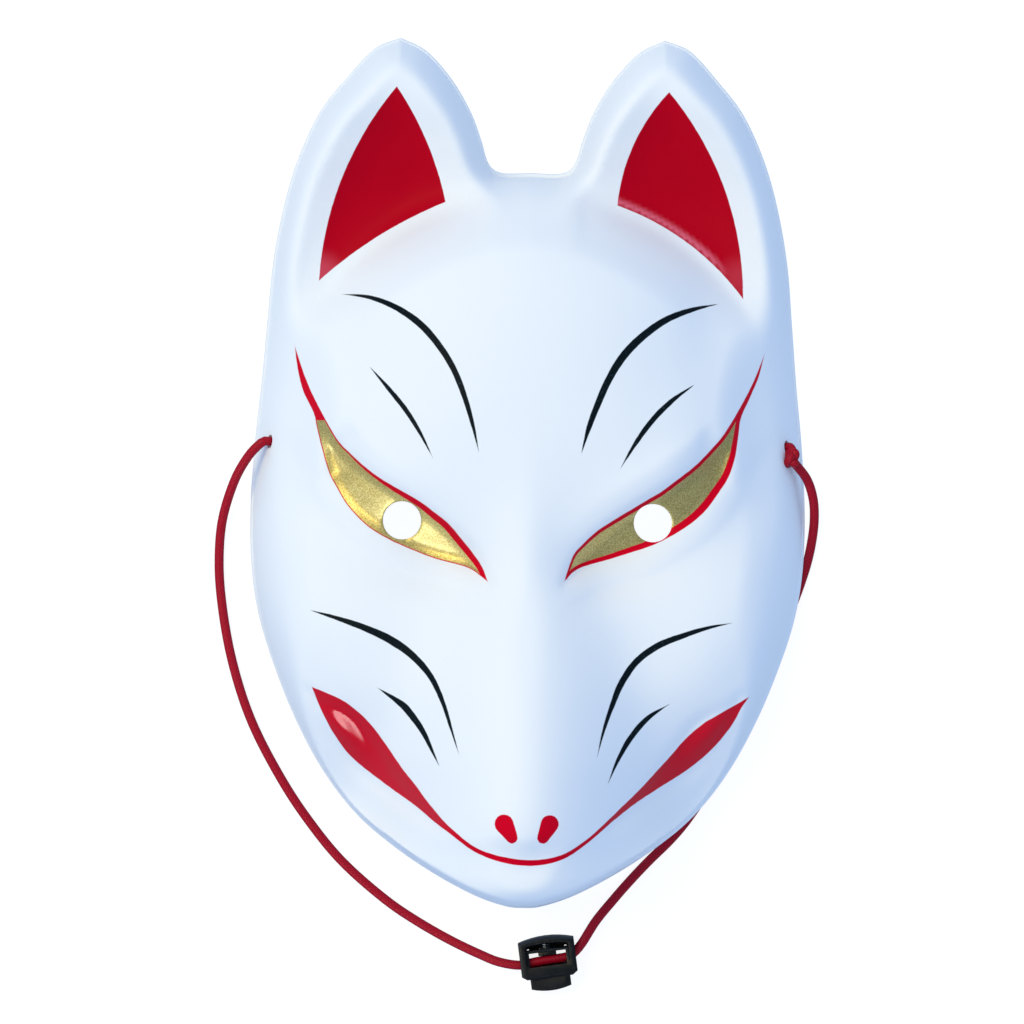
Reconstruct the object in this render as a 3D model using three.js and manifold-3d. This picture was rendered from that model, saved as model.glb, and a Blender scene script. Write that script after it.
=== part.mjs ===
// Fox mask (kitsune): a thin moulded plastic shell with painted face, worn with an elastic cord and a sprung cord lock.
// Units are millimetres. The mask lies face up: +X to the right of its face, +Y towards its ears, +Z up out of the face.
// The origin is on the surface it lies on, under the middle of the shell.
import * as THREE from "three";
import { mergeVertices } from "three/addons/utils/BufferGeometryUtils.js";
import Module from "manifold-3d";

const wasm = await Module();
wasm.setup();

// Driving dimensions of the shell
const wall = 1.5; // thickness of the moulded sheet
const sightHeight = 2000; // the face is drawn as it looks from this height over its rim
const lipHeight = 1.2; // of the narrow lip that runs round the rim
const notchLip = 1; // how much wider it is between the ears
const footWidth = 2.5; // the flat foot under the lip, which the mask lies on
const archHeight = 4.2; // how far the rim lifts along both jaws, so the cord can pass under it
const eyeHoleRadius = 5.5;
const eyeHoleCentre = [36.1, -13.9];
const cordHoleRadius = 2;
const cordHolePlace = [74.4, 8.3];

// Driving dimensions of the cord and its knots
const gap = 0.3; // between pieces that touch
const cordRadius = 1.325;
const cordSides = 8;
const cordSteps = 62;
const innerKnotRadius = 3;
const outerKnotSize = [2.3, 3.2, 2.6]; // half of its width, length and depth
const outerKnotDrop = 2.6; // how far it sits below its hole

// Driving dimensions of the cord lock, which lies flat: x along the cord, y along the button's travel
const lockPlace = [7.3, -139.1, 4.5];
const lockTurn = THREE.MathUtils.degToRad(8);
const lockHalfWidth = 8.05;
const lockThickness = 9;
const lockTop = 5.2; // at its corners
const lockArch = 1.25; // how far its top curves up between them
const lockBottom = -5.3;
const pocket = { x: 6.9, z: 2.9, top: 4.5, shoulder: -3.9 }; // the room the plunger slides in
const collarHalfWidth = 6.05; // the mouth of the pocket
const frontWindow = { x: 6.3, bottom: -1.9, top: 4.4 };
const backWindow = { x: 6.3, bottom: -1.9, top: 3.1 };
const cordSlot = { z: 1.7, bottom: -2.7, top: 4 };
const forkFoot = -4.1; // the plunger's base reaches up to here
const crossbar = { bottom: 2.05, top: 2.85 };
const legInside = 5.3;
const buttonEnd = -8.2; // the button's corners
const buttonDome = 0.9; // how far its end curves out between them

// How finely the shell is faceted
const rimPoints = 74; // along half the outline
const earRimPoints = 14; // of those, up to the tip of the ear
const ringDepths = [0, 0.9, 2.4, 4.4, 6.8]; // of the rings of facets that follow the outline
const facetSize = 6.2; // of the facets inside the last ring

// The right half of each outline is drawn in the front view, and the left half is its mirror image.
const outlineHalf = [
  [0, 86.5], // notch between the ears
  [8.5, 86.4],
  [12.3, 89], // foot of the ear's inner edge
  [14.6, 96],
  [17.7, 104],
  [23.2, 113.2],
  [30.5, 121.2],
  [38, 125], // tip of the ear
  [45.5, 121.8],
  [53.5, 113.2],
  [60.7, 104],
  [66.6, 91.5],
  [70.7, 78],
  [73.9, 61],
  [75.5, 43], // temple
  [76.9, 26],
  [78.6, 9],
  [79.7, -9],
  [79.4, -26], // cheek, the widest part
  [77.4, -40],
  [73.4, -53.5],
  [66.8, -70],
  [58.6, -85.3], // jaw
  [48.8, -98],
  [38, -107.3],
  [26, -115.3],
  [14, -121.6],
  [5, -124.6],
  [0, -125], // chin
];
const upperLid = [
  [66.8, 37], // tip of the painted tail
  [60.3, 14.5],
  [54.5, 7.5],
  [51.2, 4],
  [41.6, -2.7],
  [33.5, -7.8],
  [25, -13.5],
  [17.5, -19.8],
  [13.2, -26],
  [11, -31.3], // inner corner
];
const lowerLid = [
  [60.3, 14.5], // outer corner
  [58.9, 4],
  [55, -5],
  [49.3, -12],
  [43, -16.8],
  [36.8, -20.6],
  [31, -23.3],
  [24.6, -25],
  [17.5, -27.5],
  [11, -31.3],
];
const mouthUpper = [
  [63, -62.5], // corner of the mouth
  [57.2, -66],
  [49.6, -70],
  [45, -75],
  [40, -82.5],
  [34.3, -90.5],
  [29, -96.5],
  [25, -100.2],
];
const mouthLower = [
  [63, -62.5],
  [59.4, -72.5],
  [54, -80],
  [48.8, -86.3],
  [43, -91],
  [36.6, -95.5],
  [30.5, -99.5],
  [25, -102.6],
];

// The hollow of an ear is a triangle whose three sides are arcs, each through two corners and a point between them.
const earTop = [38.3, 109];
const earOuterCorner = [61, 54];
const earInnerCorner = [24.2, 78.8];
const earSides = [
  { arc: arcThrough(earTop, [53.9, 82.5], earOuterCorner), bevel: 15.6, holds: true },
  { arc: arcThrough(earTop, [29.2, 95], earInnerCorner), bevel: 15.6, holds: true },
  { arc: arcThrough(earInnerCorner, [43.5, 69], earOuterCorner), bevel: 9.3, holds: false },
];
const earDepth = 5.8; // from the ear's crest to the bottom of its hollow
const blend = 14.6; // how widely the snout runs out into the face

// Heights over the rim and slopes, each given at places up the face
const snoutRidge = [
  [90, 13.4],
  [60, 33.5],
  [40, 40.6],
  [20, 46.3],
  [5, 50],
  [-10, 53.2], // bridge of the nose
  [-25, 56.9],
  [-45, 64.6],
  [-65, 73.6],
  [-82, 79.4],
  [-92, 81.5],
  [-99, 82.2], // tip of the nose
  [-105, 81.2],
  [-110, 78.6],
  [-114, 76.9], // line of the mouth
  [-117, 75.7],
  [-120, 73.6],
  [-122.5, 70.6],
  [-126, 63.5],
];
const snoutSlope = [
  [90, 0.6],
  [20, 0.4],
  [0, 0.7],
  [-15, 1.15],
  [-35, 1.5],
  [-60, 1.7],
  [-80, 2.05],
  [-100, 2.4],
  [-126, 1.75],
];
const snoutRounding = [
  [90, 4],
  [0, 5.5],
  [-25, 7],
  [-50, 17.5],
  [-80, 24.5],
  [-100, 26.5],
  [-126, 27],
];
const faceDome = [
  [95, 21.3],
  [80, 32.9],
  [68, 41.4],
  [50, 50],
  [30, 53.3], // forehead
  [10, 53],
  [-10, 50.7],
  [-30, 48.5],
  [-50, 47.2], // cheeks
  [-65, 45],
  [-80, 38.6],
  [-95, 27.5],
  [-125, 9.2],
];
const faceCurve = [
  [90, 0.0076],
  [60, 0.0097],
  [30, 0.0111],
  [0, 0.0067],
  [-30, 0.0031],
  [-60, 0.0044],
  [-100, 0.0079],
];
const earCrest = [
  [125, 21.3],
  [110, 26.6],
  [95, 24.3],
  [80, 21.5],
  [60, 20.8],
];
const flankRise = [
  [122, 32],
  [108, 38],
  [90, 38.5],
  [60, 37],
  [20, 30],
  [-20, 39.5],
  [-60, 57],
  [-90, 70],
  [-125, 76.5],
];
const flankSpread = [
  [122, 7.2],
  [90, 7],
  [60, 7.2],
  [20, 8.4],
  [-20, 7.5],
  [-60, 5.5],
  [-90, 2.8],
  [-108, 1.3],
  [-118, 0.6],
  [-125, 0.5],
];
const flankRounding = [
  [120, 3.8],
  [80, 5.6],
  [50, 5.5],
  [0, 5.7],
  [-60, 5.8],
  [-100, 2.3],
  [-125, 1.7],
];
const lipWidth = [
  [125, 1.1],
  [30, 1.1],
  [0, 0.8],
  [-60, 0.5],
  [-125, 0.4],
];

// The brow's height, given at places out from the middle
const browRise = [
  [8, -0.4],
  [20, 1.8],
  [35, 5.1],
  [50, 8.7],
  [66, 8.4],
];

// Soft rises and hollows of the face
const softForms = [
  { rise: 8.1, centre: [55.8, -55.1], reach: [20.9, 29.7], turn: -0.47 }, // cheek
  { rise: 6.3, centre: [47.7, -3.5], reach: [20.3, 9.6], turn: 0.35 }, // round the outer half of the eye
  { rise: -5.8, centre: [55.1, 42.5], reach: [10.2, 23], turn: 0.05 }, // temple
  { rise: -6.9, centre: [14, -30.6], reach: [8.8, 25.7], turn: -1.34 }, // under the eye
];

// Drawing helpers
function smoothCurve(points, closed, steps) {
  const corners = points.map(([x, y]) => new THREE.Vector3(x, y, 0));
  const curve = new THREE.CatmullRomCurve3(corners, closed, "catmullrom", 0.5);
  const spans = closed ? points.length : points.length - 1;
  const drawn = curve.getPoints(spans * steps).map((p) => [p.x, p.y]);
  return closed ? drawn.slice(0, -1) : drawn;
}

function arcThrough([ax, ay], [bx, by], [cx, cy]) {
  const twist = 2 * (ax * (by - cy) + bx * (cy - ay) + cx * (ay - by));
  const a = ax * ax + ay * ay;
  const b = bx * bx + by * by;
  const c = cx * cx + cy * cy;
  const x = (a * (by - cy) + b * (cy - ay) + c * (ay - by)) / twist;
  const y = (a * (cx - bx) + b * (ax - cx) + c * (bx - ax)) / twist;
  return { x, y, radius: Math.hypot(ax - x, ay - y) };
}

function distanceTo(path, closed, u, v) {
  let nearest = Infinity;
  const spans = closed ? path.length : path.length - 1;
  for (let i = 0; i < spans; i++) {
    const [ax, ay] = path[i];
    const [bx, by] = path[(i + 1) % path.length];
    const dx = bx - ax;
    const dy = by - ay;
    const along = clamp(((u - ax) * dx + (v - ay) * dy) / (dx * dx + dy * dy), 0, 1);
    nearest = Math.min(nearest, Math.hypot(u - ax - along * dx, v - ay - along * dy));
  }
  return nearest;
}

function isInside(loop, u, v) {
  let inside = false;
  loop.forEach(([ax, ay], i) => {
    const [bx, by] = loop[(i + 1) % loop.length];
    if (ay > v !== by > v && u < ((bx - ax) * (v - ay)) / (by - ay) + ax) inside = !inside;
  });
  return inside;
}

function depthInside(loop, u, v) {
  return (isInside(loop, u, v) ? 1 : -1) * distanceTo(loop, true, u, v);
}

function clamp(x, low, high) {
  return Math.min(Math.max(x, low), high);
}

function ease(from, to, x) {
  const t = clamp((x - from) / (to - from), 0, 1);
  return t * t * (3 - 2 * t);
}

function lowerOf(a, b, rounding) {
  const t = clamp(0.5 + (0.5 * (b - a)) / rounding, 0, 1);
  return b * (1 - t) + a * t - rounding * t * (1 - t);
}

function higherOf(a, b, rounding) {
  return -lowerOf(-a, -b, rounding);
}

function swelling(u, v, { centre, reach, turn }) {
  const du = u - centre[0];
  const dv = v - centre[1];
  const a = (Math.cos(turn) * du + Math.sin(turn) * dv) / reach[0];
  const b = (Math.cos(turn) * dv - Math.sin(turn) * du) / reach[1];
  return Math.exp(-a * a - b * b);
}

// A smooth curve through places on the face and the value at each, read at v
function profile(places, v) {
  const p = [...places].sort((a, b) => a[0] - b[0]);
  const last = p.length - 1;
  const at = clamp(v, p[0][0], p[last][0]);
  let i = 0;
  while (i < last - 1 && at > p[i + 1][0]) i++;
  const lean = (j) => {
    const before = p[Math.max(j - 1, 0)];
    const after = p[Math.min(j + 1, last)];
    return (after[1] - before[1]) / (after[0] - before[0]);
  };
  const span = p[i + 1][0] - p[i][0];
  const t = (at - p[i][0]) / span;
  const rise = t * t * (3 - 2 * t);
  const leave = t * (1 - t) * (1 - t) * span * lean(i);
  const arrive = t * t * (t - 1) * span * lean(i + 1);
  return p[i][1] * (1 - rise) + p[i + 1][1] * rise + leave + arrive;
}

// Loops of the front view; the outline has a corner at the tip of each ear
const tipIndex = outlineHalf.findIndex(([, y]) => y === 125);
const innerSide = smoothCurve([[-8.5, 86.4], ...outlineHalf.slice(0, tipIndex + 1)], false, 6).slice(6);
const outerSide = smoothCurve([...outlineHalf.slice(tipIndex), [-5, -124.6]], false, 6).slice(0, -6);
const halfWay = [...innerSide, ...outerSide.slice(1)];
const outline = [...halfWay, ...halfWay.slice(1, -1).map(([x, y]) => [-x, y]).reverse()];
const lid = smoothCurve(upperLid, false, 5);
const browLine = [[110, 95], ...lid, [3, -60], [-20, -60]];
const browArea = [...browLine, [-20, 160], [110, 160]];
const eyeUpper = smoothCurve(upperLid.slice(1), false, 5);
const eyeLower = smoothCurve(lowerLid, false, 5);
const almond = [...eyeUpper, ...eyeLower.reverse().slice(1, -1)];
const lipUpper = smoothCurve(mouthUpper, false, 5);
const lipLower = smoothCurve(mouthLower, false, 5);
const mouthCorner = [...lipUpper, ...lipLower.reverse().slice(0, -1)];

// The width of the lip along the rim
function lipAt(u, v) {
  return profile(lipWidth, v) + notchLip * ease(84, 87, v) * ease(14, 8, u);
}

// The steep flank that rises from the lip, by the distance from the rim
function flankHeight(fromRim, u, v) {
  const beyond = Math.max(fromRim - lipAt(u, v), 0);
  const growth = 0.08 * Math.max(fromRim - 9, 0) ** 2;
  const steep = profile(flankRise, v) * (1 - Math.exp(-beyond / profile(flankSpread, v)));
  return lipHeight * ease(0, 0.35, fromRim) + steep + growth;
}

function rimHeight(v) {
  return archHeight * ease(-4, -19, v) * ease(-119, -108, v);
}

// Forehead, cheeks, snout and chin, then the brows, the eyes and the corners of the mouth
function faceHeight(u, v) {
  const rounding = profile(snoutRounding, v);
  const snout = profile(snoutRidge, v) - profile(snoutSlope, v) * (Math.hypot(u, rounding) - rounding);
  const soft = softForms.reduce((sum, form) => sum + form.rise * swelling(u, v, form), 0);
  const dome = profile(faceDome, v) - profile(faceCurve, v) * u * u + soft;
  const crown = (snout + dome + Math.hypot(snout - dome, blend)) / 2;
  const aboveLid = (isInside(browArea, u, v) ? 1 : -1) * distanceTo(browLine, false, u, v);
  const tail = 9 * ease(50, 62, u);
  const brow = profile(browRise, Math.hypot(u, 8)) * ease(-3.5, 8.3, aboveLid + tail) * ease(85, 35, v);
  const eyeSink = 3.2 * ease(-2.7, 3.4, depthInside(almond, u, v));
  const mouthSink = 1.6 * ease(-2.7, 2.4, depthInside(mouthCorner, u, v));
  const mouthBulge = 3 * swelling(u, v, { centre: [53.5, -74], reach: [9.5, 3.6], turn: 0.86 });
  const chin = 1.8 * swelling(u, v, { centre: [0, -120.5], reach: [16.6, 5], turn: 0 });
  return crown + brow - eyeSink - mouthSink + mouthBulge + chin;
}

// Adds the ear: a crest that the hollow sinks into, with a shallow groove along the hollow's lower side
function withEar(face, u, v) {
  const outside = earSides.map((side) => outsideOf(side, u, v));
  const steps = earSides.map(({ bevel }, i) => clamp(outside[i] / bevel, i < 2 ? -1.2 : -3, 1.3));
  const edge = higherOf(higherOf(steps[0], steps[1], 0.55), steps[2], 1.35);
  const hollow = earDepth * (1 - ease(-0.51, 1.24, edge));
  const below = outside[2];
  const isEar = ease(20, -4, below) * ease(37.6, 54, v) * ease(0, 17, u);
  const besideEar = ease(9, -1, higherOf(outside[0], outside[1], 4));
  const groove = 1.2 * Math.exp(-(((below - 3.5) / 2.6) ** 2)) * besideEar;
  return face * (1 - isEar) + profile(earCrest, v) * isEar - hollow - groove;
}

function height(signedU, v) {
  const u = Math.abs(signedU);
  const fromRim = distanceTo(outline, true, u, v);
  const relief = withEar(faceHeight(u, v), u, v);
  const body = lowerOf(flankHeight(fromRim, u, v), relief, profile(flankRounding, v));
  return body + rimHeight(v) * Math.exp(-fromRim / 4);
}

// A point of the drawing on the real surface: what is higher looks larger, so it is drawn in towards the middle
function onSurface(u, v) {
  const z = height(u, v);
  const nearer = 1 - z / sightHeight;
  return new THREE.Vector3(u * nearer, v * nearer, z);
}

function surfaceNormal(u, v) {
  const reach = 0.4;
  const across = onSurface(u + reach, v).sub(onSurface(u - reach, v));
  const up = onSurface(u, v + reach).sub(onSurface(u, v - reach));
  return across.cross(up).normalize();
}

// Places at even distances along a line
function spacedAlong(line, spans) {
  const gone = [0];
  for (let i = 1; i < line.length; i++) {
    gone.push(gone[i - 1] + Math.hypot(line[i][0] - line[i - 1][0], line[i][1] - line[i - 1][1]));
  }
  return Array.from({ length: spans + 1 }, (_, k) => {
    const stop = (k / spans) * gone[gone.length - 1];
    const i = Math.max(gone.findIndex((far) => far >= stop), 1);
    const part = (stop - gone[i - 1]) / (gone[i] - gone[i - 1]);
    return line[i].map((x, axis) => line[i - 1][axis] + part * (x - line[i - 1][axis]));
  });
}

// Rings of points that follow the outline's right half, from the notch to the chin
function outlineRings() {
  const toTip = spacedAlong(innerSide, earRimPoints);
  const places = [...toTip, ...spacedAlong(outerSide, rimPoints - earRimPoints).slice(1)];
  return ringDepths.map((depth) =>
    places.map(([x, y], i) => {
      const onAxis = i === 0 || i === rimPoints;
      const [fromX, fromY] = places[Math.max(i - 1, 0)];
      const [toX, toY] = places[Math.min(i + 1, rimPoints)];
      const step = Math.hypot(toX - fromX, toY - fromY);
      const inward = onAxis ? [0, i === 0 ? -1 : 1] : [(toY - fromY) / step, (fromX - toX) / step];
      return { u: onAxis ? 0 : x + depth * inward[0], v: y + depth * inward[1], inward };
    }),
  );
}

// Points inside the last ring: the edges of the hollows first, then an even spread between them
function innerPoints(ring) {
  const area = ring.map(({ u, v }) => [u, v]);
  const placed = [];
  const roomy = (u, v, room) =>
    isInside(area, u, v) &&
    area.every(([x, y]) => Math.hypot(u - x, v - y) > room) &&
    placed.every((p) => Math.hypot(u - p.u, v - p.v) > room);
  const place = (u, v, room) => {
    if (roomy(u, v, room)) placed.push({ u, v });
  };
  for (let i = 0; i < eyeHolePoints; i++) {
    const [u, v] = eyeHolePoint(i);
    placed.push({ u, v });
  }
  placed.push({ u: eyeHoleCentre[0], v: eyeHoleCentre[1] });
  const everyOther = (loop) => loop.filter((_, i) => i % 2 === 0);
  for (const [u, v] of everyOther(almond)) place(u, v, 1.8);
  for (const [u, v] of everyOther(mouthCorner)) place(u, v, 1.8);
  for (const { arc, holds } of earSides) {
    for (const stretch of holds ? [-0.5, 6] : [-0.5, 3.5, 10]) {
      const radius = arc.radius + (holds ? stretch : -stretch);
      const turns = Math.round((2 * Math.PI * radius) / 4.5);
      for (let i = 0; i < turns; i++) {
        const angle = (2 * Math.PI * i) / turns;
        const u = arc.x + radius * Math.cos(angle);
        const v = arc.y + radius * Math.sin(angle);
        const nearEar = v > 52 && earSides.every((side) => outsideOf(side, u, v) < stretch + 1);
        if (nearEar) place(u, v, 2.6);
      }
    }
  }
  const rowHeight = facetSize * Math.sqrt(0.75);
  for (let v = -125; v < 125; v += rowHeight) {
    const onAxis = isInside(area.map(([x, y]) => [x - 1e-3, y]), 0, v);
    if (onAxis && area.every(([x, y]) => Math.hypot(x, v - y) > facetSize * 0.5)) placed.push({ u: 0, v });
  }
  let row = 0;
  for (let v = -125; v < 125; v += rowHeight) {
    row++;
    for (let u = facetSize * (row % 2 ? 1 : 0.75); u < 80; u += facetSize) place(u, v, facetSize * 0.62);
  }
  return placed;
}

function outsideOf({ arc, holds }, u, v) {
  const beyond = Math.hypot(u - arc.x, v - arc.y) - arc.radius;
  return holds ? beyond : -beyond;
}

const eyeHolePoints = 16;
function eyeHolePoint(i) {
  const angle = (2 * Math.PI * i) / eyeHolePoints;
  return [
    eyeHoleCentre[0] + eyeHoleRadius * Math.cos(angle),
    eyeHoleCentre[1] + eyeHoleRadius * Math.sin(angle),
  ];
}

// Joins points into triangles whose circles hold no other point: each new point opens the triangles whose circle
// holds it, and is joined to the edges of the gap.
function triangulate(points) {
  const far = 1e4;
  const all = [...points, { u: -far, v: -far }, { u: far, v: -far }, { u: 0, v: far }];
  const count = points.length;
  const circled = (a, b, c) => {
    const circle = arcThrough([all[a].u, all[a].v], [all[b].u, all[b].v], [all[c].u, all[c].v]);
    return { corners: [a, b, c], ...circle };
  };
  let triangles = [circled(count, count + 1, count + 2)];
  points.forEach(({ u, v }, i) => {
    const edges = new Map();
    triangles = triangles.filter(({ corners, x, y, radius }) => {
      if (Math.hypot(u - x, v - y) >= radius * (1 - 1e-9)) return true;
      corners.forEach((a, j) => {
        const b = corners[(j + 1) % 3];
        if (!edges.delete(b + "," + a)) edges.set(a + "," + b, [a, b]);
      });
      return false;
    });
    for (const [a, b] of edges.values()) triangles.push(circled(a, b, i));
  });
  return triangles.map(({ corners }) => corners).filter((corners) => Math.max(...corners) < count);
}

// The flat net of the right half: strips of triangles between the rings, and the triangles inside the last ring
function halfNet() {
  const rings = outlineRings();
  const points = rings.flat();
  const triangles = [];
  const across = rimPoints + 1;
  for (let r = 0; r < rings.length - 1; r++) {
    for (let i = 0; i < rimPoints; i++) {
      const a = r * across + i;
      const b = a + across;
      triangles.push([a, b, a + 1], [a + 1, b, b + 1]);
    }
  }
  const last = rings[rings.length - 1];
  const start = points.length - across;
  const inner = innerPoints(last);
  const area = last.map(({ u, v }) => [u, v]);
  const core = [...last, ...inner];
  points.push(...inner);
  for (const corners of triangulate(core)) {
    const middle = ["u", "v"].map((axis) => corners.reduce((sum, i) => sum + core[i][axis] / 3, 0));
    const toEye = Math.hypot(middle[0] - eyeHoleCentre[0], middle[1] - eyeHoleCentre[1]);
    if (isInside(area, ...middle) && toEye > eyeHoleRadius * 0.95) triangles.push(corners.map((i) => i + start));
  }
  return { points, triangles };
}

// The net is mirrored, raised onto the surface, given its thickness inwards, and closed along its edges.
function shellGeometry() {
  const { points, triangles } = halfNet();
  const count = points.length;
  const whole = [...points, ...points.map((p) => ({ ...p, u: -p.u, mirrored: true }))];
  const twin = (i) => (points[i].u === 0 ? i : i + count);
  const net = triangles.map(counterClockwise(points));
  net.push(...net.map(([a, b, c]) => [twin(a), twin(c), twin(b)]));
  const outer = [];
  const inner = [];
  whole.forEach((p, i) => {
    const ring = Math.floor((i % count) / (rimPoints + 1));
    const top = onSurface(p.u, p.v);
    if (ring === 0) top.z = rimHeight(p.v);
    outer.push(top);
    inner.push(ring < 2 ? footPoint(p, ring) : top.clone().addScaledVector(surfaceNormal(p.u, p.v), -wall));
  });
  const faces = [];
  const edges = new Map();
  const below = whole.length;
  for (const [a, b, c] of net) {
    faces.push([a, b, c], [a + below, c + below, b + below]);
    for (const [from, to] of [[a, b], [b, c], [c, a]]) {
      if (!edges.delete(to + "," + from)) edges.set(from + "," + to, [from, to]);
    }
  }
  for (const [from, to] of edges.values()) {
    faces.push([from, from + below, to], [to, from + below, to + below]);
  }
  const geometry = new THREE.BufferGeometry();
  geometry.setFromPoints([...outer, ...inner]);
  geometry.setIndex(faces.flat());
  return geometry;
}

// The inner edge of the foot, and the first points of the wall above it
function footPoint({ u, v, inward, mirrored }, ring) {
  const side = mirrored ? -1 : 1;
  const depth = footWidth + 0.1 * ring - ringDepths[ring];
  return new THREE.Vector3(u + side * depth * inward[0], v + depth * inward[1], rimHeight(v) + 0.6 * ring);
}

function counterClockwise(points) {
  return ([a, b, c]) => {
    const turn =
      (points[b].u - points[a].u) * (points[c].v - points[a].v) -
      (points[b].v - points[a].v) * (points[c].u - points[a].u);
    return turn > 0 ? [a, b, c] : [a, c, b];
  };
}

// Joining and cutting
function solidOf(geometry) {
  const bare = geometry.clone();
  bare.deleteAttribute("normal");
  bare.deleteAttribute("uv");
  const merged = mergeVertices(bare, 1e-4);
  return new wasm.Manifold(
    new wasm.Mesh({
      numProp: 3,
      vertProperties: new Float32Array(merged.attributes.position.array),
      triVerts: new Uint32Array(merged.index.array),
    }),
  );
}

function geometryOf(solid) {
  const mesh = solid.getMesh();
  const geometry = new THREE.BufferGeometry();
  geometry.setAttribute("position", new THREE.BufferAttribute(mesh.vertProperties, 3));
  geometry.setIndex(new THREE.BufferAttribute(mesh.triVerts, 1));
  return geometry;
}

function cylinderAlong(start, end, radius, sides) {
  const axis = end.clone().sub(start);
  const geometry = new THREE.CylinderGeometry(radius, radius, axis.length(), sides);
  const turn = new THREE.Quaternion().setFromUnitVectors(new THREE.Vector3(0, 1, 0), axis.clone().normalize());
  geometry.applyQuaternion(turn);
  return geometry.translate(...start.clone().add(end).multiplyScalar(0.5));
}

function boxBetween(low, high) {
  const size = low.map((a, i) => high[i] - a);
  const middle = low.map((a, i) => (a + high[i]) / 2);
  return solidOf(new THREE.BoxGeometry(...size).translate(...middle));
}

function meshOf(name, geometry, material) {
  const mesh = new THREE.Mesh(geometry, material);
  mesh.name = name;
  return mesh;
}

const whitePlastic = new THREE.MeshStandardMaterial({ color: 0xeef3fa, roughness: 0.45, metalness: 0 });
const redElastic = new THREE.MeshStandardMaterial({ color: 0xa81230, roughness: 0.8, metalness: 0 });
const blackPlastic = new THREE.MeshStandardMaterial({ color: 0x141a20, roughness: 0.5, metalness: 0 });

// Shell: the cord holes are drilled square to its flanks
function cordHole(side) {
  const [u, v] = cordHolePlace;
  const mouth = onSurface(side * u, v);
  const out = surfaceNormal(side * u, v);
  return (distance) => mouth.clone().addScaledVector(out, distance);
}

function maskShell() {
  let shell = solidOf(shellGeometry());
  for (const side of [-1, 1]) {
    const along = cordHole(side);
    shell = shell.subtract(solidOf(cylinderAlong(along(-4), along(3), cordHoleRadius, 14)));
  }
  return meshOf("mask_shell", geometryOf(shell), whitePlastic);
}

// Knots: one stops the cord inside the left hole; the other is tied outside the right hole, and its end is
// stopped inside
function ballAt(centre, size) {
  return new THREE.SphereGeometry(1, 12, 8).scale(...size).translate(...centre);
}

const leftHole = cordHole(-1);
const rightHole = cordHole(1);
const innerKnotSize = [innerKnotRadius, innerKnotRadius, innerKnotRadius];
const innerKnotDepth = -(wall + gap + innerKnotRadius);
const outerKnotCentre = rightHole(gap + outerKnotSize[0]).add(new THREE.Vector3(0, -outerKnotDrop, 0));

function knotLeft() {
  return meshOf("knot_left", ballAt(leftHole(innerKnotDepth), innerKnotSize), redElastic);
}

function knotRight() {
  const inside = solidOf(ballAt(rightHole(innerKnotDepth), innerKnotSize));
  const outside = solidOf(ballAt(outerKnotCentre, outerKnotSize));
  const neck = solidOf(cylinderAlong(rightHole(innerKnotDepth), rightHole(gap + cordRadius), cordRadius, 10));
  return meshOf("knot_right", geometryOf(inside.add(neck).add(outside)), redElastic);
}

// Cord: out of the left hole, down to the surface the mask lies on, through the lock, in under the right jaw, out
// under the right cheek and up to its knot
function lockPoint(x, y, z = 0) {
  const turned = new THREE.Vector3(x, y, z).applyAxisAngle(new THREE.Vector3(0, 0, 1), lockTurn);
  return turned.add(new THREE.Vector3(...lockPlace));
}

function cordRoute() {
  const lying = cordRadius + 0.025;
  const leftSide = [
    [-78.5, 5.9, 11.6],
    [-80.8, 2.95, 10.3],
    [-84, -2.8, 7.2],
    [-87.6, -14.3, 3.2],
    [-88.5, -25.9, 1.6],
    [-87.7, -37.4, lying],
    [-84.5, -54.6, lying],
    [-78.8, -71.8, lying],
    [-69.7, -89, lying],
    [-62, -100.4, lying],
    [-52.5, -111.8, lying],
    [-39.3, -123.2, lying],
    [-30.9, -128.8, lying],
    [-20.8, -134.4, 1.9],
    [-12.2, -138.3, 3.2],
    [-6.9, -140.3, 4.1],
  ];
  const throughLock = [
    [-8.1, -0.95],
    [-4, -0.6],
    [0, -0.4],
    [4, -0.35],
    [6.2, -0.1],
    [8.2, 1.1],
    [10.2, 3],
  ];
  const rightSide = [
    [20.9, -128.4, 3.6],
    [25.7, -122.5, 2.2],
    [30.8, -116.6, 1.5],
    [36.2, -110.8, lying],
    [42, -105, lying],
    [46.5, -99.6, lying],
    [54, -88, lying],
    [63, -71, lying],
    [70.8, -53, lying],
    [75.2, -40.5, lying],
    [77.6, -34, lying],
    [79.2, -29.3, 1.6],
    [80.7, -24, 2.2],
    [81.8, -18.2, 3.2],
    [82.3, -12.4, 4.7],
    [81.9, -6.7, 6.5],
    [80, -1, 8.7],
  ];
  const toKnot = new THREE.Vector3(3, -5.5, -3.6).normalize();
  const knotEnd = outerKnotCentre.clone().addScaledVector(toKnot, outerKnotSize[1] + gap);
  return [
    leftHole(-wall),
    leftHole(1.5),
    ...leftSide.map((p) => new THREE.Vector3(...p)),
    ...throughLock.map(([x, y]) => lockPoint(x, y)),
    ...rightSide.map((p) => new THREE.Vector3(...p)),
    knotEnd,
  ];
}

function elasticCord() {
  const around = Array.from({ length: cordSides }, (_, i) => (2 * Math.PI * i) / cordSides);
  const section = new THREE.Shape(
    around.map((angle) => new THREE.Vector2(cordRadius * Math.cos(angle), cordRadius * Math.sin(angle))),
  );
  const route = new THREE.CatmullRomCurve3(cordRoute(), false, "centripetal");
  const tube = new THREE.ExtrudeGeometry(section, { extrudePath: route, steps: cordSteps, bevelEnabled: false });
  return meshOf("elastic_cord", geometryOf(solidOf(tube)), redElastic);
}

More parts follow.
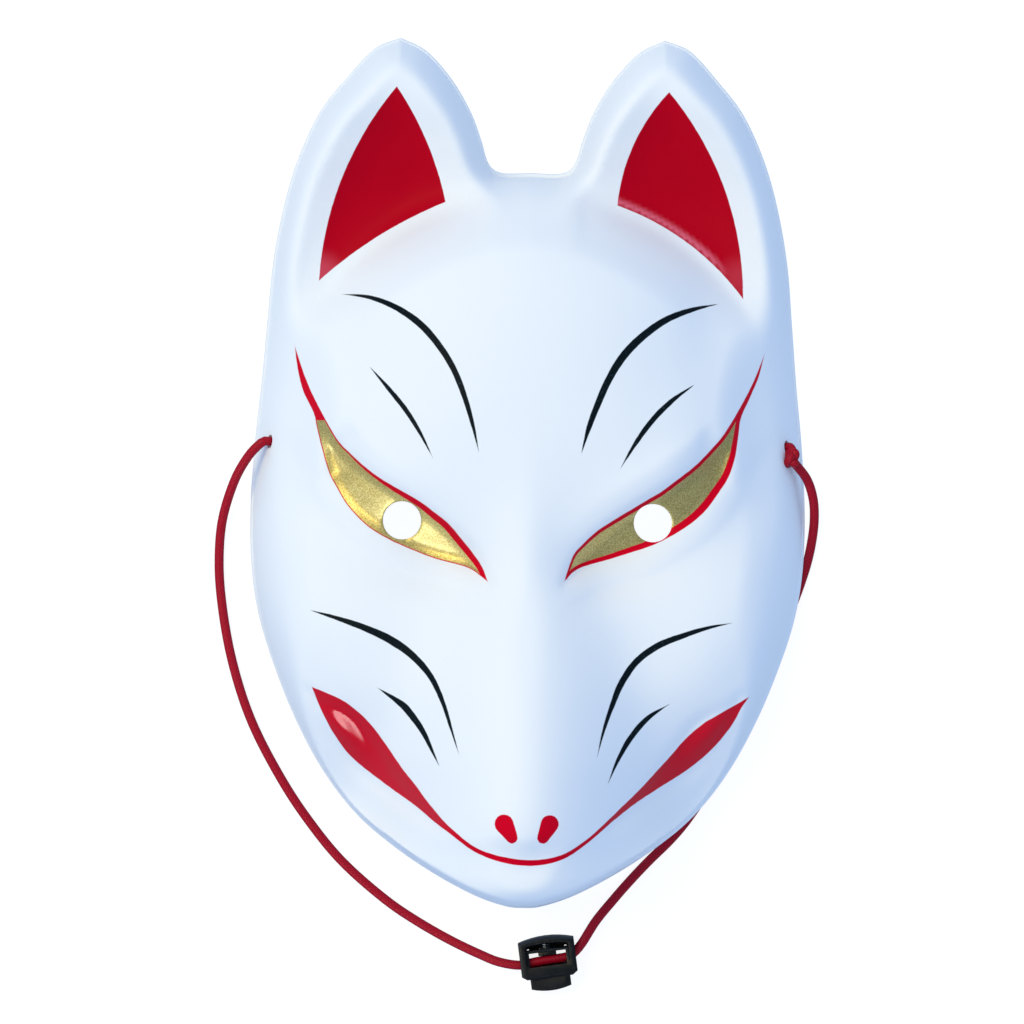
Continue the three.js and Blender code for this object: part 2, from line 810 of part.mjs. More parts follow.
// Lock body: a flat black housing with an arched top, a window in each face, a slot for the cord in each side, and
// a pocket for the plunger that opens at the bottom
function plate(corners, thickness, bevel) {
  const shape = new THREE.Shape();
  corners.forEach(([x, y, curve], i) => {
    if (i === 0) shape.moveTo(x, y);
    else if (curve) shape.quadraticCurveTo(...curve, x, y);
    else shape.lineTo(x, y);
  });
  const geometry = new THREE.ExtrudeGeometry(shape, {
    depth: thickness - 2 * bevel,
    bevelEnabled: bevel > 0,
    bevelSize: bevel,
    bevelThickness: bevel,
    bevelOffset: -bevel,
    bevelSegments: 1,
    curveSegments: 8,
  });
  return solidOf(geometry.translate(0, 0, bevel - thickness / 2));
}

function windowCut({ x, bottom, top }, thickness) {
  const round = 1.4;
  return plate(
    [
      [-x + round, bottom],
      [x - round, bottom],
      [x, bottom + round, [x, bottom]],
      [x, top - round],
      [x - round, top, [x, top]],
      [-x + round, top, [0, top + 0.6]],
      [-x, top - round, [-x, top]],
      [-x, bottom + round],
      [-x + round, bottom, [-x, bottom]],
    ],
    thickness,
    0,
  );
}

function laidInLock(solid) {
  const geometry = geometryOf(solid);
  geometry.applyMatrix4(new THREE.Matrix4().makeRotationZ(lockTurn));
  return geometry.translate(...lockPlace);
}

function lockBody() {
  const w = lockHalfWidth;
  const faceDepth = lockThickness / 2 + 1;
  const outside = plate(
    [
      [-w, lockBottom + 1],
      [-w + 1.5, lockBottom],
      [w - 1.5, lockBottom],
      [w, lockBottom + 1],
      [w, lockTop],
      [-w, lockTop, [0, lockTop + 2 * lockArch]],
    ],
    lockThickness,
    0.6,
  );
  const room = boxBetween([-pocket.x, pocket.shoulder, -pocket.z], [pocket.x, pocket.top, pocket.z]);
  const mouth = boxBetween([-collarHalfWidth, lockBottom - 1, -pocket.z], [collarHalfWidth, 0, pocket.z]);
  const slots = boxBetween([-w - 1, cordSlot.bottom, -cordSlot.z], [w + 1, cordSlot.top, cordSlot.z]);
  const front = windowCut(frontWindow, faceDepth).translate([0, 0, faceDepth / 2]);
  const back = windowCut(backWindow, faceDepth).translate([0, 0, -faceDepth / 2]);
  const body = [room, mouth, slots, front, back].reduce((solid, cut) => solid.subtract(cut), outside);
  return meshOf("lock_body", laidInLock(body), blackPlastic);
}

// Lock plunger: a button with a rounded end, and a fork whose crossbar passes over the cord; the cord runs through
// both legs
function lockPlunger() {
  const depth = pocket.z - gap;
  const legOutside = pocket.x - gap;
  const buttonHalfWidth = collarHalfWidth - gap;
  const button = plate(
    [
      [-buttonHalfWidth, forkFoot],
      [-buttonHalfWidth, buttonEnd, null],
      [buttonHalfWidth, buttonEnd, [0, buttonEnd - 2 * buttonDome]],
      [buttonHalfWidth, forkFoot],
    ],
    2 * depth,
    0,
  );
  const fork = boxBetween([-legOutside, pocket.shoulder + gap, -depth], [legOutside, crossbar.top, depth]);
  const neck = boxBetween([-buttonHalfWidth, forkFoot - 0.5, -depth], [buttonHalfWidth, 0, depth]);
  const opening = boxBetween([-legInside, forkFoot, -depth - 1], [legInside, crossbar.bottom, depth + 1]);
  const cordWay = boxBetween([-legOutside - 1, forkFoot, -cordSlot.z], [legOutside + 1, crossbar.bottom, cordSlot.z]);
  const plunger = button.add(fork).add(neck).subtract(opening).subtract(cordWay);
  return meshOf("lock_plunger", laidInLock(plunger), blackPlastic);
}

const mask = new THREE.Group();
mask.add(maskShell(), elasticCord(), knotLeft(), knotRight(), lockBody(), lockPlunger());
export default mask;
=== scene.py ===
import math

import bpy
import numpy as np
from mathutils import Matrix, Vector, geometry


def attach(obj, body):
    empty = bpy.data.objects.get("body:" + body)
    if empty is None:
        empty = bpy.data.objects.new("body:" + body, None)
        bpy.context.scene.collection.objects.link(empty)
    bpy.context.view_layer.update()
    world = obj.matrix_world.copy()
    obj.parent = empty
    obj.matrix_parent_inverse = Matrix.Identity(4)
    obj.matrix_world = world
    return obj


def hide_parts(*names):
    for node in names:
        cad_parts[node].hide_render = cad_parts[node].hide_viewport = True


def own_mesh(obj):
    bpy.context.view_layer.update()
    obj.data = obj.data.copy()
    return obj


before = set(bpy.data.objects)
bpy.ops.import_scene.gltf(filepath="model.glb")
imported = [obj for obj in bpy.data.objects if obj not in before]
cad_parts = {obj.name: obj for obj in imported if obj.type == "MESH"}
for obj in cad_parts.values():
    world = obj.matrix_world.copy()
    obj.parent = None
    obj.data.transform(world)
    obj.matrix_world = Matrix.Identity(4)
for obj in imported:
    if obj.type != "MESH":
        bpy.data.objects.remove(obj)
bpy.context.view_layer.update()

MM = 0.001

# Camera
# The mask lies face up and is seen from straight above, from two metres away, turned a little so that the
# picture shows it leaning as in the photograph. The shift puts the object where it stands in the frame.
EYE_HEIGHT = 2000 * MM
PICTURE_WIDTH = 294.6 * MM  # what the frame covers at the height of the surface
PICTURE_CENTRE = (-4.6 * MM, -11.1 * MM)
LEAN = math.radians(0.65)

camera_data = bpy.data.cameras.new("camera")
camera_data.sensor_width = 36
camera_data.lens = camera_data.sensor_width * EYE_HEIGHT / PICTURE_WIDTH
camera_data.shift_x = PICTURE_CENTRE[0] / PICTURE_WIDTH
camera_data.shift_y = PICTURE_CENTRE[1] / PICTURE_WIDTH
camera = bpy.data.objects.new("camera", camera_data)
camera.location = (0, 0, EYE_HEIGHT)
camera.rotation_euler = (0, 0, LEAN)
bpy.context.scene.collection.objects.link(camera)
bpy.context.scene.camera = camera
bpy.context.scene.view_settings.view_transform = "Standard"

# Elastic cord
# Round elastic with a braided red polyester sheath, 2.65 mm thick. It leaves the left side of the shell,
# lies on the surface, runs through the lock and in under the right jaw, and comes up to its knot on the
# right side.
CORD_RADIUS = 1.325 * MM
LYING = 1.35  # height of its middle where it lies, in mm
CORD_SIDES = 24
LOCK_PLACE = Vector((7.3, -139.1, 4.5))
LOCK_TURN = math.radians(8)
LEFT_HOLE = Vector((-73.97, 8.25, 11.61))  # where the hole in the shell's left flank opens, in mm
RIGHT_HOLE = Vector((73.97, 8.25, 11.61))
HOLE_WAY = Vector((0.911, 0.112, 0.396))  # out of the right hole


def lock_point(x, y, z=0.0):
    """A point of the lock, which is drawn square to itself, in mm where it lies."""
    turned = Vector((x, y, z))
    turned.rotate(Vector((math.cos(LOCK_TURN), math.sin(LOCK_TURN), 0)).to_track_quat("X", "Z"))
    return turned + LOCK_PLACE


def smooth_route(points, step):
    """Points a step apart on the centripetal curve through these points."""
    p = [Vector(q) for q in points]
    p = [2 * p[0] - p[1], *p, 2 * p[-1] - p[-2]]
    route = []
    for a, b, c, d in zip(p, p[1:], p[2:], p[3:]):
        t0, t1 = 0.0, (b - a).length**0.5
        t2 = t1 + (c - b).length**0.5
        t3 = t2 + (d - c).length**0.5
        count = max(int((c - b).length / step), 2)
        for i in range(count):
            t = t1 + (t2 - t1) * i / count
            ab = a.lerp(b, (t - t0) / (t1 - t0))
            bc = b.lerp(c, (t - t1) / (t2 - t1))
            cd = c.lerp(d, (t - t2) / (t3 - t2))
            abc = ab.lerp(bc, (t - t0) / (t2 - t0))
            bcd = bc.lerp(cd, (t - t1) / (t3 - t1))
            route.append(abc.lerp(bcd, (t - t1) / (t2 - t1)))
    return [*route, p[-2]]


def tube(name, route, radii, sides, closed=False):
    """A closed tube along a route in mm, with a UV map: round the tube, and along it in tube widths."""
    count = len(route)
    ahead = [route[(i + 1) % count] if closed or i + 1 < count else route[i] for i in range(count)]
    behind = [route[i - 1] if closed or i else route[i] for i in range(count)]
    ways = [(a - b).normalized() for a, b in zip(ahead, behind)]
    side = ways[0].orthogonal().normalized()
    vertices, around, along, gone = [], [], [], 0.0
    for i, (place, way, radius) in enumerate(zip(route, ways, radii)):
        side = (side - way * side.dot(way)).normalized()
        across = way.cross(side)
        gone += (place - route[i - 1]).length if i else 0.0
        for k in range(sides):
            turn = 2 * math.pi * k / sides
            vertices.append((place + radius * (side * math.cos(turn) + across * math.sin(turn))) * MM)
            around.append(k / sides)
            along.append(gone)
    faces = []
    for i in range(count if closed else count - 1):
        for k in range(sides):
            a, b = i * sides + k, i * sides + (k + 1) % sides
            j = (i + 1) % count
            faces.append((a, b, j * sides + (k + 1) % sides, j * sides + k))
    if not closed:
        faces.append(tuple(range(sides))[::-1])
        faces.append(tuple((count - 1) * sides + k for k in range(sides)))
    mesh = bpy.data.meshes.new(name)
    mesh.from_pydata(vertices, [], faces)
    thickness = 2 * max(radii)
    layer = mesh.uv_layers.new(name="cord_map")
    for face in mesh.polygons:
        for loop in face.loop_indices:
            vertex = mesh.loops[loop].vertex_index
            u, v = around[vertex], along[vertex]
            if len(face.vertices) == 4 and u == 0 and face.vertices[0] % sides == sides - 1:
                u = 1.0
            layer.data[loop].uv = (u, v / thickness)
    for face in mesh.polygons:
        face.use_smooth = len(face.vertices) == 4
    piece = bpy.data.objects.new(name, mesh)
    bpy.context.scene.collection.objects.link(piece)
    return piece


def linear(hex_colour):
    """An sRGB hex colour as linear red, green, blue and alpha."""
    parts = [int(hex_colour[i : i + 2], 16) / 255 for i in (1, 3, 5)]
    return (*[c / 12.92 if c <= 0.04045 else ((c + 0.055) / 1.055) ** 2.4 for c in parts], 1.0)


def add(material, kind, settings=None, **inputs):
    """Adds a node to a material or world. An input is a value, or the socket that feeds it."""
    tree = material.node_tree
    node = tree.nodes.new(kind)
    for name, value in (settings or {}).items():
        setattr(node, name, value)
    for name, value in inputs.items():
        key = int(name[1:]) if name[0] == "_" else name.replace("_", " ")
        if isinstance(value, bpy.types.NodeSocket):
            tree.links.new(value, node.inputs[key])
        else:
            node.inputs[key].default_value = value
    return node


def new_material(name):
    material = bpy.data.materials.new(name)
    material.use_nodes = True
    material.node_tree.nodes.clear()
    return material


def finish_with(material, shader):
    output = add(material, "ShaderNodeOutputMaterial")
    material.node_tree.links.new(shader, output.inputs["Surface"])


# Braided polyester over rubber: a matt red with a soft sheen, whose fine slanting strands catch the light.
BRAID_RED = "#C0082A"
# darker red of the painted shade between the strands
BRAID_PAINTED_SHADE = "#8C051B"
STRANDS_AROUND = 16.0
STRANDS_ALONG = 2.2  # per cord width; drawn coarser than the real 0.35 mm strands so that they show

braid = new_material("braided_red_elastic")
braid_map = add(braid, "ShaderNodeUVMap", {"uv_map": "cord_map"})
parts = add(braid, "ShaderNodeSeparateXYZ", Vector=braid_map.outputs["UV"])
turns = add(braid, "ShaderNodeMath", {"operation": "MULTIPLY"}, _0=parts.outputs["X"], _1=STRANDS_AROUND / 2)
pitch = add(braid, "ShaderNodeMath", {"operation": "MULTIPLY"}, _0=parts.outputs["Y"], _1=STRANDS_ALONG)


def strand(sign):
    lean = add(braid, "ShaderNodeMath", {"operation": "MULTIPLY"}, _0=pitch.outputs[0], _1=sign)
    place = add(braid, "ShaderNodeMath", {"operation": "ADD"}, _0=turns.outputs[0], _1=lean.outputs[0])
    wave = add(braid, "ShaderNodeMath", {"operation": "PINGPONG"}, _0=place.outputs[0], _1=0.5)
    return wave.outputs[0]


weave = add(braid, "ShaderNodeMath", {"operation": "MULTIPLY"}, _0=strand(1.0), _1=strand(-1.0))
weave_height = add(braid, "ShaderNodeMath", {"operation": "MULTIPLY"}, _0=weave.outputs[0], _1=4.0)
# Painted shade: the red is darker where the weave is low, in the gaps between the strands
braid_colour = add(
    braid, "ShaderNodeMix", {"data_type": "RGBA"},
    Factor=weave_height.outputs[0], _6=linear(BRAID_PAINTED_SHADE), _7=linear(BRAID_RED),
)
braid_bump = add(braid, "ShaderNodeBump", Strength=0.35, Distance=0.00008, Height=weave_height.outputs[0])
braid_shader = add(
    braid, "ShaderNodeBsdfPrincipled",
    Base_Color=braid_colour.outputs[2], Roughness=0.42, Specular_IOR_Level=0.15,
    Normal=braid_bump.outputs["Normal"],
)
finish_with(braid, braid_shader.outputs["BSDF"])

left_side = [
    (-78.5, 5.9, 11.6), (-80.8, 2.95, 10.3), (-84, -2.8, 7.2), (-87.6, -14.3, 3.2), (-88.5, -25.9, 1.6),
    (-87.7, -37.4, LYING), (-84.5, -54.6, LYING), (-78.8, -71.8, LYING), (-69.7, -89, LYING),
    (-62, -100.4, LYING), (-52.5, -111.8, LYING), (-39.3, -123.2, LYING), (-30.9, -128.8, LYING),
    (-20.8, -134.4, 1.9), (-12.2, -138.3, 3.2), (-6.9, -140.3, 4.1),
]
through_lock = [(-8.1, -0.95), (-4, -0.6), (0, -0.4), (4, -0.35), (6.2, -0.1), (8.2, 1.1), (10.2, 3)]
right_side = [
    (20.9, -128.4, 3.6), (25.7, -122.5, 2.2), (30.8, -116.6, 1.5), (36.2, -110.8, LYING), (42, -105, LYING),
    (46.5, -99.6, LYING), (54, -88, LYING), (63, -71, LYING), (70.8, -53, LYING), (75.2, -40.5, LYING),
    (77.6, -34, LYING), (79.2, -29.3, 1.6), (80.7, -24, 2.2), (81.8, -18.2, 3.2), (82.3, -12.4, 4.7),
    (81.9, -6.7, 6.5), (80, -1, 8.7),
]
KNOT_PLACE = Vector((75.2, 5.0, 13.9))  # of the knot outside the right hole
into_left_hole = Vector((-HOLE_WAY.x, HOLE_WAY.y, HOLE_WAY.z))
cord_points = [
    LEFT_HOLE - 1.5 * into_left_hole,
    LEFT_HOLE + 1.5 * into_left_hole,
    *left_side,
    *[lock_point(x, y) for x, y in through_lock],
    *right_side,
    KNOT_PLACE + Vector((4.8, -6, -5.2)).normalized() * 1.3,
]
cord_route = smooth_route(cord_points, 1.2)
cord = tube("cord", cord_route, [CORD_RADIUS / MM] * len(cord_route), CORD_SIDES)
cord.data.materials.append(braid)
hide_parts("elastic_cord")
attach(cord, "mask")

# Knots
# The cord's ends are held by overhand knots pulled tight: one inside the left hole, and on the right one
# inside the hole and one outside it, just over the flank. They are the cord itself, so they have its
# braided sheath.
KNOT_STRAND = 1.2  # radius of the cord where it is pulled tight
KNOT_POINTS = 84
KNOT_SIDES = 16
INNER_KNOT = (3.1, 3.0, 2.8)  # half of its length, width and depth
OUTER_KNOT = (3.3, 2.45, 2.4)
INNER_KNOT_DEPTH = 4.8  # behind the mouth of the hole
TAIL = 4.5  # of cord left beyond a knot
TAIL_RADIUS = 1.3
TAIL_STEP = 0.35


def overhand(name, centre, long_way, out, half_long, half_across, half_deep):
    """The closed tube of a tight overhand knot; its long way is laid square to the way out."""
    out = out.normalized()
    long_way = (long_way - out * long_way.dot(out)).normalized()
    across = out.cross(long_way)
    route = []
    for i in range(KNOT_POINTS):
        t = 2 * math.pi * i / KNOT_POINTS
        x = (math.sin(t) + 2 * math.sin(2 * t)) / 3 * (half_across - KNOT_STRAND)
        y = (math.cos(t) - 2 * math.cos(2 * t)) / 3 * (half_long - KNOT_STRAND)
        z = -math.sin(3 * t) * (half_deep - KNOT_STRAND)
        route.append(centre + across * x + long_way * y + out * z)
    return tube(name, route, [KNOT_STRAND] * KNOT_POINTS, KNOT_SIDES, closed=True)


def rounded_end(name, points):
    """A short length of cord whose last end is sealed round by heat."""
    route = smooth_route(points, TAIL_STEP)
    left = [(route[-1] - p).length for p in route]
    radii = [TAIL_RADIUS * math.sqrt(max(1 - max(1 - far / TAIL_RADIUS, 0) ** 2, 0.02)) for far in left]
    return tube(name, route, radii, KNOT_SIDES)


def joined(name, *parts):
    """Makes one piece of a knot's tubes, in the cord's sheath."""
    bpy.ops.object.select_all(action="DESELECT")
    for part in parts:
        part.select_set(True)
    bpy.context.view_layer.objects.active = parts[0]
    bpy.ops.object.join()
    parts[0].name = name
    parts[0].data.materials.append(braid)
    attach(parts[0], "mask")
    return parts[0]


left_centre = LEFT_HOLE - INNER_KNOT_DEPTH * into_left_hole
inner_left = joined(
    "left_knot",
    overhand("left_wraps", left_centre, Vector((0.2, 1, 0.3)), into_left_hole, *INNER_KNOT),
    rounded_end("left_neck", [
        left_centre, LEFT_HOLE - 2.4 * into_left_hole, LEFT_HOLE - 1.2 * into_left_hole,
    ]),
    rounded_end("left_tail", [
        left_centre, left_centre + Vector((1.5, -2.5, -1)), left_centre + Vector((2, -TAIL, -3)),
    ]),
)
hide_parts("knot_left")

right_centre = RIGHT_HOLE - INNER_KNOT_DEPTH * HOLE_WAY
outer_right = joined(
    "right_knot",
    overhand("outer_wraps", KNOT_PLACE, Vector((-0.1, -1, 0.1)), Vector((0.5, 0.1, 0.86)), *OUTER_KNOT),
    overhand("inner_wraps", right_centre, Vector((0.2, 1, 0.3)), HOLE_WAY, *INNER_KNOT),
    rounded_end("right_neck", [
        right_centre, RIGHT_HOLE - 1.2 * HOLE_WAY, RIGHT_HOLE + 0.9 * HOLE_WAY,
        RIGHT_HOLE + Vector((1.5, -1.3, 1.8)), KNOT_PLACE,
    ]),
    rounded_end("right_tail", [
        right_centre, right_centre + Vector((-1.5, -2.5, -1)), right_centre + Vector((-2, -TAIL, -3)),
    ]),
)
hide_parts("knot_right")

# Cord lock
# A sprung cord lock of black acetal: a flat moulded housing with a window through it, and a button whose
# fork pinches the cord under its crossbar. A small steel spring behind the crossbar pushes the button
# out.
HOUSING_EDGE = 0.2 * MM  # how far the moulded edges are rounded
BUTTON_EDGE = 0.18 * MM
BACK_WINDOW_DROP = 0.5  # how much lower the top of the back window is than that of the front one
SADDLE_WIDTH, SADDLE_THICKNESS, SADDLE_DEPTH = 5.2, 1.1, 4.2
SADDLE_HEIGHT = 1.55  # of its middle
SADDLE_EDGE = 0.25 * MM
CROSSBAR_TOP = 2.85
POCKET_TOP = 4.5  # where the spring rests in the housing
SPRING_RADIUS = 2.0
SPRING_WIRE = 0.18
COILS = 2.5
COIL_POINTS = 24  # in one turn

# Acetal, moulded black: a deep even black with the soft gloss of a slippery plastic
ACETAL_BLACK = "#04070B"
ACETAL_WORN = "#080E15"
black = new_material("black_acetal")
place = add(black, "ShaderNodeTexCoord").outputs["Object"]
cloud = add(black, "ShaderNodeTexNoise", Vector=place, Scale=500.0, Detail=3.0)  # handled a little shinier
acetal_colour = add(
    black, "ShaderNodeMix", {"data_type": "RGBA"},
    _0=cloud.outputs[0], _6=linear(ACETAL_BLACK), _7=linear(ACETAL_WORN),
)
acetal_gloss = add(black, "ShaderNodeMapRange", Value=cloud.outputs[0], To_Min=0.26, To_Max=0.42)
grain = add(black, "ShaderNodeTexNoise", Vector=place, Scale=6000.0, Detail=1.0)  # eroded mould, 0.15 mm
grain_bump = add(black, "ShaderNodeBump", Strength=0.12, Distance=0.00005, Height=grain.outputs[0])
acetal_shader = add(
    black, "ShaderNodeBsdfPrincipled",
    Base_Color=acetal_colour.outputs[2], Roughness=acetal_gloss.outputs[0], Specular_IOR_Level=0.5,
    Normal=grain_bump.outputs["Normal"],
)
finish_with(black, acetal_shader.outputs["BSDF"])


def lock_local(vertex):
    """Where a vertex of a lock piece is on the lock's own drawing, in mm."""
    place = Vector(vertex.co) / MM - LOCK_PLACE
    place.rotate(Vector((math.cos(-LOCK_TURN), math.sin(-LOCK_TURN), 0)).to_track_quat("X", "Z"))
    return place


def moulded_copy(node, name):
    """The CAD node's faces joined up again as the mould's flat and round ones."""
    source = bpy.data.objects[node]
    mesh = source.data.copy()
    mesh.transform(source.matrix_world)
    mesh.materials.clear()
    mesh.materials.append(black)
    piece = bpy.data.objects.new(name, mesh)
    bpy.context.scene.collection.objects.link(piece)
    bpy.ops.object.select_all(action="DESELECT")
    piece.select_set(True)
    bpy.context.view_layer.objects.active = piece
    bpy.ops.object.mode_set(mode="EDIT")
    bpy.ops.mesh.select_all(action="SELECT")
    bpy.ops.mesh.remove_doubles(threshold=0.002 * MM)
    bpy.ops.mesh.dissolve_limited(angle_limit=math.radians(1))
    bpy.ops.object.mode_set(mode="OBJECT")
    return piece


def round_edges(piece, width):
    """Rounds the sharp edges as a mould does, and shades the rest smooth."""
    edges = piece.modifiers.new("moulded_edges", "BEVEL")
    edges.width = width
    edges.segments = 3
    edges.limit_method = "ANGLE"
    edges.angle_limit = math.radians(32)
    bpy.ops.object.select_all(action="DESELECT")
    piece.select_set(True)
    bpy.context.view_layer.objects.active = piece
    bpy.ops.object.modifier_apply(modifier=edges.name)
    bpy.ops.object.shade_smooth_by_angle(angle=math.radians(35))


bpy.context.view_layer.update()
housing = moulded_copy("lock_body", "lock_housing")
for vertex in housing.data.vertices:
    x, y, z = lock_local(vertex)
    at_back_window_top = z < -2.8 and 2.9 < y < 3.6 and abs(x) < 5.2
    if at_back_window_top:
        vertex.co = lock_point(x, y - BACK_WINDOW_DROP, z) * MM
round_edges(housing, HOUSING_EDGE)
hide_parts("lock_body")
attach(housing, "mask")

plunger = moulded_copy("lock_plunger", "lock_button")
round_edges(plunger, BUTTON_EDGE)
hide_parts("lock_plunger")
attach(plunger, "plunger")

# The saddle under the crossbar that presses on the cord
bpy.ops.object.select_all(action="DESELECT")
bpy.ops.mesh.primitive_cube_add(size=1, location=(0, 0, 0))
saddle = bpy.context.object
saddle.name = "lock_saddle"
for vertex in saddle.data.vertices:
    x = SADDLE_WIDTH * vertex.co.x
    y = SADDLE_HEIGHT + SADDLE_THICKNESS * vertex.co.y
    z = SADDLE_DEPTH * vertex.co.z
    vertex.co = lock_point(x, y, z) * MM
saddle.data.materials.append(black)
round_edges(saddle, SADDLE_EDGE)
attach(saddle, "plunger")

# Spring steel, cold drawn: a grey metal whose fine scratches break up its gloss
SPRING_GREY = "#6E7479"
steel = new_material("spring_steel")
place = add(steel, "ShaderNodeTexCoord").outputs["Object"]
drawn_wire = add(steel, "ShaderNodeTexNoise", Vector=place, Scale=3000.0)  # scratches from the drawing die
steel_gloss = add(steel, "ShaderNodeMapRange", Value=drawn_wire.outputs[0], To_Min=0.2, To_Max=0.4)
steel_shader = add(
    steel, "ShaderNodeBsdfPrincipled",
    Base_Color=linear(SPRING_GREY), Metallic=1.0, Roughness=steel_gloss.outputs[0],
)
finish_with(steel, steel_shader.outputs["BSDF"])
coil = []
for i in range(int(COILS * COIL_POINTS) + 1):
    turn = 2 * math.pi * i / COIL_POINTS
    rise = CROSSBAR_TOP + 0.2 + (POCKET_TOP - CROSSBAR_TOP - 0.4) * i / (COILS * COIL_POINTS)
    coil.append(lock_point(SPRING_RADIUS * math.cos(turn), rise, SPRING_RADIUS * math.sin(turn)))
spring = tube("lock_spring", coil, [SPRING_WIRE] * len(coil), 8)
spring.data.materials.append(steel)
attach(spring, "mask")
lock_point(0, 1) - LOCK_PLACE
lock_point(0, POCKET_TOP) * MM
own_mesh(spring)

# Mask shell
# A fox's face of white plastic sheet, 1.5 mm thick, moulded in one piece over a form. Its rim is turned
# in to a flat foot that it lies on. The red, gold and black are painted on its outside by hand, and the
# inside is bare.
WALL = 1.5
LIP_HEIGHT = 1.2
NOTCH_LIP = 1.0  # how much wider the lip is between the ears
FOOT_WIDTH = 2.5
ARCH_HEIGHT = 4.2  # how far the rim lifts along both jaws, so the cord can pass under it
EAR_DEPTH = 5.8  # from the ear's crest to the bottom of its hollow
BLEND = 14.6  # how widely the snout runs out into the face
EYE_SINK = 3.2
UNDER_EYE_RIDGE = 0.5
MOUTH_SINK = 1.6
MOUTH_CORNER_GROOVE = 0.25
MOUTH_CORNER_BULGE = 3
LIP_FOLD = 0.7
CHIN_RISE = 1.8
UNDER_EAR_GROOVE = 0.8
EYE_HOLE_CENTRE = (36.1, -13.9)
EYE_HOLE_RADIUS = 5.5
CORD_HOLE_PLACE = (74.4, 8.3)
CORD_HOLE_RADIUS = 2.0

outline_half = [
    (0, 86.5), (8.5, 86.4), (12.3, 89), (14.6, 96), (17.7, 104), (23.2, 113.2), (30.5, 121.2), (38, 125),
    (45.5, 121.8), (53.5, 113.2), (60.7, 104), (66.6, 91.5), (70.7, 78), (73.9, 61), (75.5, 43),
    (76.9, 26), (78.6, 9), (79.7, -9), (79.4, -26), (77.4, -40), (73.4, -53.5), (66.8, -70),
    (58.6, -85.3), (48.8, -98), (38, -107.3), (26, -115.3), (14, -121.6), (5, -124.6), (0, -125),
]
upper_lid = [
    (66.8, 37), (60.3, 14.5), (54.5, 7.5), (51.2, 4), (41.6, -2.7), (33.5, -7.8), (25, -13.5),
    (17.5, -19.8), (13.2, -26), (11, -31.3),
]
lower_lid = [
    (60.3, 14.5), (58.9, 4), (55, -5), (49.3, -12), (43, -16.8), (36.8, -20.6), (31, -23.3), (24.6, -25),
    (17.5, -27.5), (11, -31.3),
]
mouth_upper = [
    (63, -62.5), (57.2, -66), (49.6, -70), (45, -75), (40, -82.5), (34.3, -90.5), (29, -96.5),
    (25, -100.2),
]
mouth_lower = [
    (63, -62.5), (59.4, -72.5), (54, -80), (48.8, -86.3), (43, -91), (36.6, -95.5), (30.5, -99.5),
    (25, -102.6),
]

# Heights over the rim and slopes, each given at places up the face, and the brow's at places out from its
# middle. They were fitted by a program to how the photograph's white is shaded, and then rounded.
snout_ridge = [
    (90, 13.4), (60, 33.5), (40, 40.6), (20, 46.3), (5, 50), (-10, 53.2), (-25, 56.9), (-45, 64.6),
    (-65, 73.6), (-82, 79.4), (-92, 81.5), (-99, 82.2), (-105, 81.2), (-110, 78.6), (-114, 76.9),
    (-117, 75.7), (-120, 73.6), (-122.5, 70.6), (-126, 63.5),
]
snout_slope = [
    (90, 0.6), (20, 0.4), (0, 0.7), (-15, 1.15), (-35, 1.5), (-60, 1.7), (-80, 2.05), (-100, 2.4),
    (-126, 1.75),
]
snout_rounding = [(90, 4), (0, 5.5), (-25, 7), (-50, 17.5), (-80, 24.5), (-100, 26.5), (-126, 27)]
face_dome = [
    (95, 21.3), (80, 32.9), (68, 41.4), (50, 50), (30, 53.3), (10, 53), (-10, 50.7), (-30, 48.5),
    (-50, 47.2), (-65, 45), (-80, 38.6), (-95, 27.5), (-125, 9.2),
]
face_curve = [
    (90, 0.0076), (60, 0.0097), (30, 0.0111), (0, 0.0067), (-30, 0.0031), (-60, 0.0044), (-100, 0.0079),
]
brow_rise = [(8, -0.4), (20, 1.8), (35, 5.1), (50, 8.7), (66, 8.4)]
ear_crest = [(125, 21.3), (110, 26.6), (95, 24.3), (80, 21.5), (60, 20.8)]
flank_rise = [
    (122, 32), (108, 38), (90, 38.5), (60, 37), (20, 30), (-20, 39.5), (-60, 57), (-90, 70), (-125, 76.5),
]
flank_spread = [
    (122, 7.2), (90, 7), (60, 7.2), (20, 8.4), (-20, 7.5), (-60, 5.5), (-90, 2.8), (-108, 1.3),
    (-118, 0.6), (-125, 0.5),
]
flank_rounding = [(120, 3.8), (80, 5.6), (50, 5.5), (0, 5.7), (-60, 5.8), (-100, 2.3), (-125, 1.7)]
lip_width = [(125, 0.8), (30, 0.8), (0, 0.7), (-60, 0.5), (-125, 0.4)]

# Soft rises and hollows of the face, fitted with the heights: how high, where the middle is, how far it
# reaches each way, and its turn
soft_forms = [
    (8.1, (55.8, -55.1), (20.9, 29.7), -0.47),  # cheek
    (6.3, (47.7, -3.5), (20.3, 9.6), 0.35),  # round the outer half of the eye
    (-5.8, (55.1, 42.5), (10.2, 23), 0.05),  # temple
    (-6.9, (14, -30.6), (8.8, 25.7), -1.34),  # under the eye
]


def smooth_line(points, closed=False, steps=6):
    """Points on the smooth curve through these points."""
    p = np.array(points, float)
    ends = (p[-1], p[0], p[1]) if closed else (2 * p[0] - p[1], 2 * p[-1] - p[-2], p[-1])
    p = np.vstack([ends[0], p, *ends[1:]] if closed else [ends[0], p, ends[1]])
    spans = len(p) - 3
    line = []
    for i in range(spans):
        a, b, c, d = p[i : i + 4]
        for t in np.arange(steps) / steps:
            bend = (c - a) * t + (2 * a - 5 * b + 4 * c - d) * t**2 + (3 * b - a - 3 * c + d) * t**3
            line.append(b + bend / 2)
    return np.array(line if closed else [*line, p[-2]])


